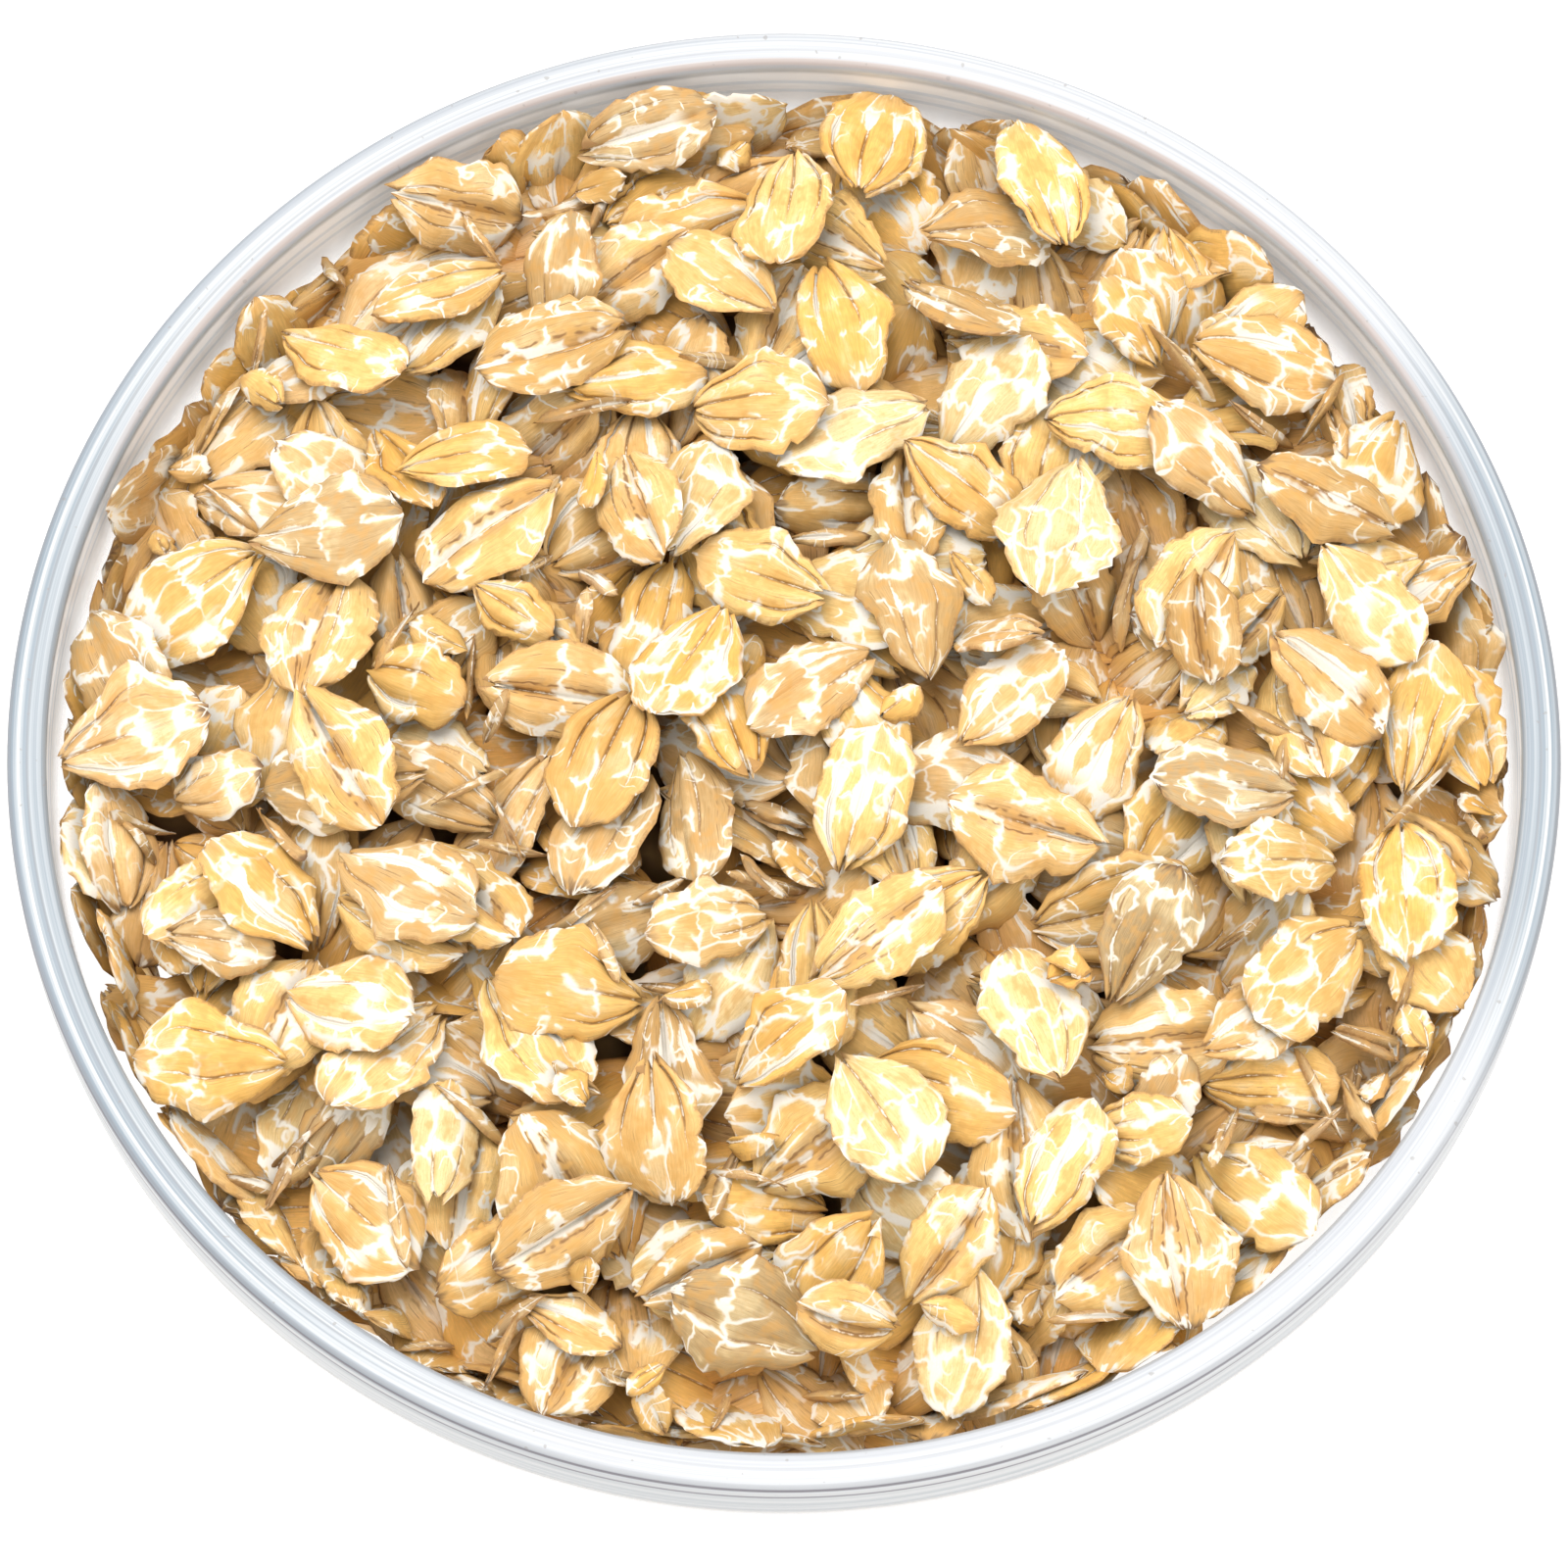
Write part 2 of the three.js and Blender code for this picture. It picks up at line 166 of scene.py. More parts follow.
def side_curve(inset, bottom, start, end, steps):
    """Part of an ellipse, upright at the rim (angle 0) and level at the bottom (a quarter turn):
    radius = middle + (reach - inset) cos(angle), height = top - depth sin(angle)."""
    angle = np.linspace(start, end, steps)
    radius = SIDE_MIDDLE + (SIDE_REACH - inset) * np.cos(angle)
    return np.stack([radius, SIDE_TOP - (SIDE_TOP - bottom) * np.sin(angle)], 1)


def rounded_corner(radius, height, size, start, end):
    """A quarter of a circle of the given size about (radius, height)."""
    angle = np.linspace(start, end, 7)
    return np.stack([radius + size * np.cos(angle), height + size * np.sin(angle)], 1)


def inside_radius(height):
    """Radius of the bowl's inside at a height, from the same ellipse."""
    share = np.clip((SIDE_TOP - height) / (SIDE_TOP - FLOOR_HEIGHT), 0, 1)
    return SIDE_MIDDLE + (SIDE_REACH - RIM_WIDTH) * np.sqrt(1 - share**2)


foot_angle = math.acos((FOOT_RADIUS - SIDE_MIDDLE) / SIDE_REACH)
inner_edge = RIM_RADIUS - RIM_WIDTH
bowl_profile = np.concatenate([
    [[0, 0], [FOOT_RADIUS - FOOT_BEVEL, 0], [FOOT_RADIUS, FOOT_BEVEL]],
    side_curve(0, FOOT_HEIGHT, foot_angle, 0, 40),
    rounded_corner(RIM_RADIUS - EDGE_ROUND, BOWL_HEIGHT - EDGE_ROUND, EDGE_ROUND, 0, np.pi / 2),
    rounded_corner(inner_edge + EDGE_ROUND, BOWL_HEIGHT - EDGE_ROUND, EDGE_ROUND, np.pi / 2, np.pi),
    side_curve(RIM_WIDTH, FLOOR_HEIGHT, 0, np.pi / 2, 40),
    [[0, FLOOR_HEIGHT]],
])
bowl = make_piece("clear_bowl", *turned(bowl_profile, BOWL_SIDES), slot="clear_bowl")
bowl.data.set_sharp_from_angle(angle=math.radians(35))
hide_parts("bowl")

# %% [markdown]
# ## How a grain lies on a heap
#
# Grains laid at random go through each other. Real ones fall until something holds them, so each
# grain here is dropped on a map of the heap's height. A grain is taken as a thin plate with some
# hundred and fifty sample points. The plate tips until its middle can sink no lower, which puts it
# at rest on three points, and each grain tries a dozen spots and takes the one that is lowest
# against the heap's intended dome. A rigid-body simulation would do the same at a far higher
# price. The random numbers are the ones that the solid was made with, so the grains that stand out
# on the solid are the same grains.

# %% Repeatable random numbers and the shape of the heap
CLEARANCE = 0.3
HEAP_RADIUS = RIM_RADIUS - RIM_WIDTH - CLEARANCE
HEAP_EDGE = -3.6
HEAP_TOP = 3.2
DOME_POWER = 2.4
BED_DEPTH = 6.4
SEED = 5


class Dice:
    """Multiplies its state by 16807 and keeps the remainder by 2147483647, as a share of it."""

    def __init__(self, seed):
        self.state = seed

    def __call__(self):
        self.state = self.state * 16807 % 2147483647
        return self.state / 2147483647


def heap_height(radius):
    """A dome that stays flat in the middle and falls to the wall by a power of the radius."""
    share = np.minimum(radius / HEAP_RADIUS, 1)
    return BOWL_HEIGHT + HEAP_TOP - (HEAP_TOP - HEAP_EDGE) * share**DOME_POWER


# %% A grain as a thin plate
GRAIN_LENGTH = 9.5
GRAIN_WIDTH_SHARE = 0.67
GRAIN_THICKNESS = 1.6
SMALL_SHARE = 0.16
SAMPLE_STEP = 0.45
RIM_SHARES = np.array([-1, -0.78, -0.25, 0.35, 0.8, 1])


def half_width(width, share):
    """Half the width at a share from -1, the blunt end, to 1, the point, of half the length: a
    circle's half width, raised to a power that grows towards the point."""
    round_part = np.sqrt(np.maximum(1 - share**2, 0))
    return width / 2 * round_part ** (1 + 0.35 * (1 + share)) * (1 - 0.12 * share)


def make_grain(dice):
    """Sizes from the dice, then sample points as x, y, top and underside: the middle plane is
    bent by bend (share^2 - 0.3), and the plate thins from its crown to its edge."""
    small = dice() < SMALL_SHARE
    size = 0.86 + 0.14 * (dice() + dice()) - (0.28 if small else 0)
    grain = {"length": GRAIN_LENGTH * size}
    grain["width"] = GRAIN_LENGTH * GRAIN_WIDTH_SHARE * size * (0.85 + 0.3 * dice())
    grain["thickness"] = GRAIN_THICKNESS * (0.75 + 0.5 * dice())
    grain["bend"] = 0.3 - 1.1 * dice()
    return with_samples(grain)


def with_samples(grain):
    """Adds the grain's sample points and the corners of its edge."""
    length, width = grain["length"], grain["width"]
    x, y = np.meshgrid(
        np.arange((SAMPLE_STEP - length) / 2, length / 2, SAMPLE_STEP),
        np.arange((SAMPLE_STEP - width) / 2, width / 2, SAMPLE_STEP),
        indexing="ij",
    )
    share = x / (length / 2)
    side = half_width(width, share)
    held = side > np.abs(y)
    x, y, share, side = x[held], y[held], share[held], side[held]
    crown = np.sqrt((1 - (y / side) ** 2) * (1 - share**2))
    half = grain["thickness"] / 2 * (0.35 + 0.65 * crown)
    middle = grain["bend"] * (share**2 - 0.3)
    grain["top"] = np.stack([x, y, middle + half])
    grain["under"] = np.stack([x, y, middle - half])
    rim = np.concatenate([RIM_SHARES, RIM_SHARES[-2:0:-1]])
    way = np.where(np.arange(len(rim)) < len(RIM_SHARES), 1, -1)
    edge = [rim * length / 2, way * half_width(width, rim), grain["bend"] * (rim**2 - 0.3)]
    grain["reach"] = np.concatenate([np.stack(edge), grain["under"]], axis=1)
    return grain


# %% The map of the heap's height
MAP_STEP = 0.4


class HeapMap:
    """A square grid of the heap's height, and of which grain is uppermost in each cell."""

    def __init__(self):
        self.reach = RIM_RADIUS + 2
        self.side = math.ceil(2 * self.reach / MAP_STEP)
        middle = (np.arange(self.side) + 0.5) * MAP_STEP - self.reach
        self.radius = np.hypot(*np.meshgrid(middle, middle))
        bed = heap_height(self.radius) - BED_DEPTH
        self.height = np.where(self.radius > HEAP_RADIUS + MAP_STEP, BOWL_HEIGHT, bed)
        self.owner = np.full(self.height.shape, -1)

    def cells(self, x, y):
        """The row and the column of the cell that each point lies over."""
        column = np.floor((x + self.reach) / MAP_STEP).astype(int)
        row = np.floor((y + self.reach) / MAP_STEP).astype(int)
        return np.clip(row, 0, self.side - 1), np.clip(column, 0, self.side - 1)

    def stamp(self, grain, owner):
        """Raises the map to the grain's top, highest points last."""
        x, y, z = grain["turn"] @ grain["top"] + grain["place"][:, None]
        order = np.argsort(z)
        row, column = self.cells(x[order], y[order])
        higher = z[order] > self.height[row, column]
        row, column = row[higher], column[higher]
        self.height[row, column] = z[order][higher]
        self.owner[row, column] = owner


# %% How a plate comes to rest
SPOTS_TRIED = 12
STEEPEST_SLOPE = 0.75
SETTLING = 0.3


def resting_slopes(x, y, height):
    """The slope that lets each plate's middle sink lowest, one row for each plate: the highest
    point over a plate of slope p is the largest of height - p.(x, y), and each turn moves p a
    little towards the point that touches, by less each time."""
    rows = np.arange(len(height))
    slope = np.zeros((len(height), 2))
    rest = slope.copy()
    lowest = np.full(len(height), np.inf)
    for turn in range(1, 121):
        over = height - slope[:, :1] * x - slope[:, 1:] * y
        touch = over.argmax(axis=1)
        highest = over[rows, touch]
        lower = highest < lowest
        lowest = np.where(lower, highest, lowest)
        rest[lower] = slope[lower]
        arm = np.stack([x[rows, touch], y[rows, touch]], axis=1)
        slope += 0.3 / turn / np.maximum(np.hypot(*arm.T), 1)[:, None] * arm
    steepness = np.hypot(*rest.T)
    return rest * np.minimum(1, STEEPEST_SLOPE / np.maximum(steepness, 1e-9))[:, None]


def spun(turn):
    """Turns about the Z axis, as matrices."""
    cos, sin = np.cos(turn), np.sin(turn)
    zero, one = np.zeros_like(cos), np.ones_like(cos)
    rows = [[cos, -sin, zero], [sin, cos, zero], [zero, zero, one]]
    return np.moveaxis(np.array(rows), -1, 0)


def leaned(normal):
    """The shortest turns that take the Z axis to each unit normal (a, b, c)."""
    a, b, c = normal.T
    k = 1 / (1 + c)
    rows = [[1 - a * a * k, -a * b * k, a], [-a * b * k, 1 - b * b * k, b], [-a, -b, c]]
    return np.moveaxis(np.array(rows), -1, 0)


def resting_poses(heap, grain, x, y, turn, tilt):
    """Where the grain comes to rest at each (x, y), as turns and places."""
    spin = spun(turn)
    flat = spin @ grain["under"]
    row, column = heap.cells(x[:, None] + flat[:, 0], y[:, None] + flat[:, 1])
    slope = resting_slopes(flat[:, 0], flat[:, 1], heap.height[row, column] - grain["under"][2])
    normal = np.concatenate([tilt - slope, np.ones((len(x), 1))], axis=1)
    turns = leaned(normal / np.linalg.norm(normal, axis=1, keepdims=True)) @ spin
    laid = turns @ grain["under"]
    row, column = heap.cells(x[:, None] + laid[:, 0], y[:, None] + laid[:, 1])
    height = (heap.height[row, column] - laid[:, 2]).max(axis=1) - SETTLING
    return turns, np.stack([x, y, height], axis=1)


def reach_into_bowl(grain, turns, places):
    """How far each pose reaches past the bowl's inside, or past the rim above it."""
    x, y, z = np.moveaxis(turns @ grain["reach"] + places[:, :, None], 1, 0)
    room = np.where(z > BOWL_HEIGHT + CLEARANCE, RIM_RADIUS, inside_radius(z) - CLEARANCE)
    return (np.hypot(x, y) - room).max(axis=1)


def clear_poses(grain, radius, pose_at):
    """Moves each pose inwards by what it reaches into the bowl, four times at most."""
    turns, places = pose_at(radius)
    reach = reach_into_bowl(grain, turns, places)
    for _ in range(3):
        late = reach > 0
        if not late.any():
            break
        radius = np.where(late, radius - reach - 0.05, radius)
        new_turns, new_places = pose_at(radius)
        turns = np.where(late[:, None, None], new_turns, turns)
        places = np.where(late[:, None], new_places, places)
        reach = np.where(late, reach_into_bowl(grain, new_turns, new_places), reach)
    return turns, places, reach <= 0


# %% [markdown]
# First a ring of grains that lean on the wall all round, as they do in the real bowl, then the
# dropped ones.

# %% Laying the grains
LEANING_COUNT = 104
LEANING_DEPTH, LEANING_SPREAD = 5.6, 5.4
ROW_STEP = 1.4
DROPPED_COUNT = 420


def leaning_pose(radius, angle, height, turn, lean):
    """A grain at the wall whose face looks inwards and up by the angle lean."""
    cos, sin = np.cos(angle), np.sin(angle)
    along = np.array([-sin, cos, 0])
    face = np.array([-cos * np.cos(lean), -sin * np.cos(lean), np.sin(lean)])
    basis = np.stack([along, np.cross(face, along), face], axis=1)
    turns = basis @ spun(np.array([turn]))
    return turns, np.array([[radius[0] * cos, radius[0] * sin, height]])


def lay_leaning(heap, dice):
    """A ring of leaning grains, every other one a row further in, at random heights."""
    grains = []
    for index in range(LEANING_COUNT):
        grain = make_grain(dice)
        angle = 2 * np.pi * (index + 0.9 * dice()) / LEANING_COUNT
        height = BOWL_HEIGHT + HEAP_EDGE - LEANING_DEPTH + LEANING_SPREAD * dice()
        turn = np.pi * dice()
        lean = 0.15 + 0.75 * dice()
        turns, places, clear = clear_poses(
            grain, np.array([HEAP_RADIUS - 1 - ROW_STEP * (index % 2)]),
            lambda radius: leaning_pose(radius, angle, height, turn, lean))
        if clear[0]:
            grains.append(grain | {"turn": turns[0], "place": places[0]})
    for index, grain in enumerate(grains):
        heap.stamp(grain, index)
    return grains


def drop(heap, grain, dice, tip):
    """Tries a dozen spots for one grain and gives it the lowest pose against the dome."""
    lean = tip * dice() * dice()
    toward = 2 * np.pi * dice()
    tilt = lean * np.array([np.cos(toward), np.sin(toward)])
    start, angle, turn = np.array([[dice(), dice(), dice()] for _ in range(SPOTS_TRIED)]).T
    start = (HEAP_RADIUS - 1.5) * np.sqrt(start)
    cos, sin = np.cos(2 * np.pi * angle), np.sin(2 * np.pi * angle)
    turns, places, clear = clear_poses(
        grain, start, lambda radius: resting_poses(
            heap, grain, radius * cos, radius * sin, 2 * np.pi * turn, tilt))
    over = places[:, 2] - heap_height(np.hypot(places[:, 0], places[:, 1]))
    best = np.where(clear, over, np.inf).argmin()
    return grain | {"turn": turns[best], "place": places[best]} if clear[best] else None


dice = Dice(SEED)
heap = HeapMap()
grains = lay_leaning(heap, dice)
for _ in range(DROPPED_COUNT):
    grain = drop(heap, make_grain(dice), dice, 0.5)
    if grain:
        heap.stamp(grain, len(grains))
        grains.append(grain)

laid_count = len(grains)
print(laid_count, "grains laid")

# %% [markdown]
# Plates that rest on three points leave holes between them, and one would look down into the
# dark. In the real heap grains on edge, broken bits and strips of loose husk close the holes. So a
# random deep cell of the map is taken, a grain is held over it in a dozen ways, and the way that
# covers most of the hole and rises least over its neighbours is kept.

# %% Filling the holes
HOLE_DEPTH = 3.0
HOLE_REACH = HEAP_RADIUS - 0.6
OVERLAP_COST = 0.6
FILL_COUNT = 190


def fill_hole(heap, grain, random):
    """Scores a pose by the share of the grain's points that cover deep cells, less a part of
    the share that stands out over cells that aren't deep."""
    dome = heap_height(heap.radius)
    deep = np.argwhere((heap.radius < HOLE_REACH) & (heap.height < dome - HOLE_DEPTH))
    if not len(deep):
        return None
    row, column = deep[random.integers(len(deep))]
    x, y = (np.array([column, row]) + 0.5) * MAP_STEP - heap.reach
    angle, tries = np.arctan2(y, x), SPOTS_TRIED
    toward, steep = random.uniform(0, 2 * np.pi, tries), random.uniform(0.0, 0.8, tries)
    normal = np.stack([steep * np.cos(toward), steep * np.sin(toward), np.ones(tries)], axis=1)
    turns = leaned(normal / np.linalg.norm(normal, axis=1, keepdims=True))
    turns = turns @ spun(random.uniform(0, 2 * np.pi, tries))
    height = dome[row, column] - random.uniform(1.2, 3.2, tries)
    turns, places, clear = clear_poses(
        grain, np.full(tries, np.hypot(x, y)), lambda radius: (turns, np.stack(
            [radius * np.cos(angle), radius * np.sin(angle), height], axis=1)))
    top = turns @ grain["top"] + places[:, :, None]
    rows, columns = heap.cells(top[:, 0], top[:, 1])
    ground, level = heap.height[rows, columns], dome[rows, columns]
    above = top[:, 2] > ground
    score = (above & (ground < level - HOLE_DEPTH)).mean(axis=1)
    score = score - OVERLAP_COST * (above & (ground >= level - HOLE_DEPTH)).mean(axis=1)
    best = np.where(clear, score, -9).argmax()
    return grain | {"turn": turns[best], "place": places[best]} if clear[best] else None


filler = np.random.default_rng(31)
for _ in range(FILL_COUNT):
    grain = fill_hole(heap, make_grain(dice), filler)
    if grain:
        heap.stamp(grain, len(grains))
        grains.append(grain)

grain_count = len(grains)
print(grain_count, "grains with those in the holes")

# %% [markdown]
# Last come the loose bits: narrow strips of torn husk and broken corners of grains. They are
# dropped like the grains, and as they take the lowest spot they find, they end up in the gaps.

# %% Strips and crumbs
STRIP_COUNT = 70
CRUMB_COUNT = 24


def loose_bit(length, width, thickness, bend):
    """A strip or a crumb, which lies on the heap as a small grain does."""
    return with_samples({"length": length, "width": width, "thickness": thickness, "bend": bend})


for index in range(STRIP_COUNT + CRUMB_COUNT):
    if index < STRIP_COUNT:
        bit = loose_bit(filler.uniform(3.5, 7.5), filler.uniform(0.6, 1.3), 0.35,
                        filler.uniform(-0.9, 0.5))
    else:
        bit = loose_bit(filler.uniform(2.5, 4.5), filler.uniform(1.8, 2.8), 0.8, 0.1)
    bit = drop(heap, bit, dice, 0.9)
    if bit:
        heap.stamp(bit, len(grains))
        grains.append(bit | {"loose": "strip" if index < STRIP_COUNT else "crumb"})

seen = np.bincount(heap.owner[heap.owner >= 0], minlength=len(grains)) * MAP_STEP**2
deep_share = (heap.height < heap_height(heap.radius) - HOLE_DEPTH)[heap.radius < HOLE_REACH]
print(len(grains), "pieces,", (seen[:grain_count] > 4).sum(), "grains show more than 4 mm2,",
      f"{deep_share.mean():.1%} of the heap is deep")

# %% [markdown]
# ## The grains behind the clear wall
#
# Seen from the side, the bowl shows the grains that press against its inside. They are laid in the
# same way, only that here the way down is outwards to the wall. The wall is a quarter of an ellipse
# turned round the axis, so a place on it has two angles, round the axis and along the ellipse, and
# a depth inwards from it. Each grain tries a dozen places, turned and tipped a little, and takes
# the one where it comes nearest to the wall.

# %% Wall grains
WALL_COUNT = 900
LAYER_DEPTH = 7.0
NEAR_WALL = 34.0
SINKING = 0.15
WALL_CELL = math.radians(0.7)
WALL_REACH, WALL_FALL = SIDE_REACH - RIM_WIDTH, SIDE_TOP - FLOOR_HEIGHT


class WallMap:
    """How deep the grains against the wall reach inwards, by angle round and angle along."""

    def __init__(self):
        self.depth = np.full((int(2 * np.pi / WALL_CELL), int(np.pi / 2 / WALL_CELL)), CLEARANCE)

    def unrolled(self, points):
        """Cells and depths of points. With p = distance out of the ellipse's middle over its half
        width and q = height under it over its half height, the angle along is atan(q / p) and the
        depth is (1 - sqrt(p^2 + q^2)) over the slope of that root."""
        x, y, z = np.moveaxis(points, -2, 0)
        p, q = (np.hypot(x, y) - SIDE_MIDDLE) / WALL_REACH, (SIDE_TOP - z) / WALL_FALL
        along = np.arctan2(q, p)
        slope = np.hypot(np.cos(along) / WALL_REACH, np.sin(along) / WALL_FALL)
        rows = np.floor(np.arctan2(y, x) / WALL_CELL).astype(int) % self.depth.shape[0]
        columns = np.clip(np.floor(along / WALL_CELL).astype(int), 0, self.depth.shape[1] - 1)
        return rows, columns, (1 - np.hypot(p, q)) / slope

    def stamp(self, grain):
        """Raises the map to the side of the grain that looks away from the wall."""
        points = grain["turn"] @ grain["under"] + grain["place"][:, None]
        rows, columns, depth = self.unrolled(points)
        np.maximum.at(self.depth, (rows, columns), depth)


def wall_poses(around, along, turn, tip_around, tip_along):
    """Turns and places of grains with their backs to the wall: round_it points round the bowl,
    inwards is at right angles to the wall, and a grain's own Z axis points against inwards,
    tipped a little. The third result is inwards."""
    cos, sin = np.cos(around), np.sin(around)
    flat, up = np.cos(along) / WALL_REACH, np.sin(along) / WALL_FALL
    inwards = np.stack([-cos * flat, -sin * flat, up], axis=1)
    inwards /= np.linalg.norm(inwards, axis=1, keepdims=True)
    round_it = np.stack([-sin, cos, np.zeros_like(cos)], axis=1)
    tipping = tip_around[:, None] * round_it + tip_along[:, None] * np.cross(inwards, round_it)
    back = tipping - inwards
    back /= np.linalg.norm(back, axis=1, keepdims=True)
    side = np.cross(back, round_it)
    side /= np.linalg.norm(side, axis=1, keepdims=True)
    turns = np.stack([np.cross(side, back), side, back], axis=2) @ spun(turn)
    radius = SIDE_MIDDLE + WALL_REACH * np.cos(along)
    height = SIDE_TOP - WALL_FALL * np.sin(along)
    return turns, np.stack([radius * cos, radius * sin, height], axis=1), inwards


def lay_at_wall(wall, grain, random):
    """Moves each of a dozen poses inwards until its back is clear of the wall and of the grains
    already there, and gives the least deep one."""
    along = np.radians(random.uniform(6, 84, SPOTS_TRIED))
    around, turn = random.uniform(0, 2 * np.pi, (2, SPOTS_TRIED))
    tips = random.normal(0, 0.1, (2, SPOTS_TRIED))
    turns, places, inwards = wall_poses(around, along, turn, *tips)
    push = np.zeros(SPOTS_TRIED)
    for _ in range(3):
        moved = places + push[:, None] * inwards
        rows, columns, depth = wall.unrolled(turns @ grain["top"] + moved[:, :, None])
        push += (wall.depth[rows, columns] - depth).max(axis=1) - SINKING
    best = push.argmin()
    place = places[best] + push[best] * inwards[best]
    return grain | {"turn": turns[best], "place": place}, push[best]


wall = WallMap()
for grain in grains:
    if np.hypot(*grain["place"][:2]) > NEAR_WALL:
        wall.stamp(grain)
wall_grains = []
for _ in range(WALL_COUNT):
    grain, push = lay_at_wall(wall, make_grain(dice), filler)
    if push < LAYER_DEPTH:
        wall.stamp(grain)
        wall_grains.append(grain)
print(len(wall_grains), "grains at the wall")

# %% [markdown]
# Seen from below, grains lie flat on the bowl's floor too. They are spread like the seeds of a
# sunflower, each one a golden angle further round than the last, which covers a disc evenly. Every
# other one lies a little higher, on its neighbours, and the outermost rise with the bowl's side.

# %% Floor grains
FLOOR_COUNT = 84
FLOOR_REACH = 25.5
FLOOR_LIFT = 1.3
LEVEL_REACH = 19
GOLDEN_ANGLE = math.radians(137.5)

spot = np.arange(FLOOR_COUNT)
spot_radius = FLOOR_REACH * np.sqrt((spot + 0.5) / FLOOR_COUNT)
spot_angle = spot * GOLDEN_ANGLE + filler.uniform(-0.1, 0.1, FLOOR_COUNT)
tipped = np.column_stack([filler.normal(0, 0.06, (FLOOR_COUNT, 2)), np.ones(FLOOR_COUNT)])
floor_turns = leaned(tipped / np.linalg.norm(tipped, axis=1, keepdims=True))
floor_turns = floor_turns @ spun(filler.uniform(0, 2 * np.pi, FLOOR_COUNT)) @ np.diag([1, -1, -1])
floor_places = np.column_stack([
    spot_radius * np.cos(spot_angle), spot_radius * np.sin(spot_angle),
    FLOOR_HEIGHT + FLOOR_LIFT + spot % 2 + np.maximum(spot_radius - LEVEL_REACH, 0) * 0.1])
for turn, place in zip(floor_turns, floor_places):
    wall_grains.append(make_grain(dice) | {"turn": turn, "place": place})
print(FLOOR_COUNT, "grains on the bowl's floor")

# %% [markdown]
# ## The skin of a flattened grain
#
# Seen from close by, a flattened grain is a thin pillow with a ragged edge. One end is blunt. At
# the other the husk splits into petals that run down to points, each one arched across like a
# tile. The crease side has a furrow down its middle instead, with a full flank on either hand. All
# grains of a kind are worked out at once, as arrays of grain by row by column, with the row going
# along the grain and the column across it. The upper and the lower sheet share the points of the
# edge, which closes the pillow.

# %% Rows, columns and petals
PETAL_GAPS = {2: [0.5], 3: [0.36, 0.66], 4: [0.27, 0.5, 0.74], 5: [0.2, 0.41, 0.6, 0.8]}


def smooth(low, high, value):
    """0 below low, 1 above high and 3t^2 - 2t^3 between."""
    share = np.clip((value - low) / (high - low), 0, 1)
    return share**2 * (3 - 2 * share)


def petal_phase(counts, columns):
    """Runs from 0 to the number of petals across each grain, a whole number at each gap. A gap
    falls on a column, so that the split between two petals stays sharp."""
    across = np.arange(columns + 1)
    phases = {}
    for count, gaps in PETAL_GAPS.items():
        stops = [0, *(round(gap * columns) for gap in gaps), columns]
        phases[count] = np.interp(across, stops, np.arange(count + 1))
    return np.stack([phases[int(count)] for count in counts])


def waves(random, grains, position, count, slowest, fastest):
    """A sum of sines of random frequency and phase along position, one row for each grain."""
    frequency = random.uniform(slowest, fastest, (grains, count, 1))
    phase = random.uniform(0, 2 * np.pi, (grains, count, 1))
    return np.sin(frequency * position + phase).sum(axis=1) / math.sqrt(count)


def angular(random, grains, position, knots, low, high):
    """Straight lines between random values at even knots along position, one row per grain."""
    values = random.uniform(low, high, (grains, knots + 1))
    place = (position + 1) / 2 * knots
    left = np.minimum(place.astype(int), knots - 1)
    return values[:, left] * (left + 1 - place) + values[:, left + 1] * (place - left)


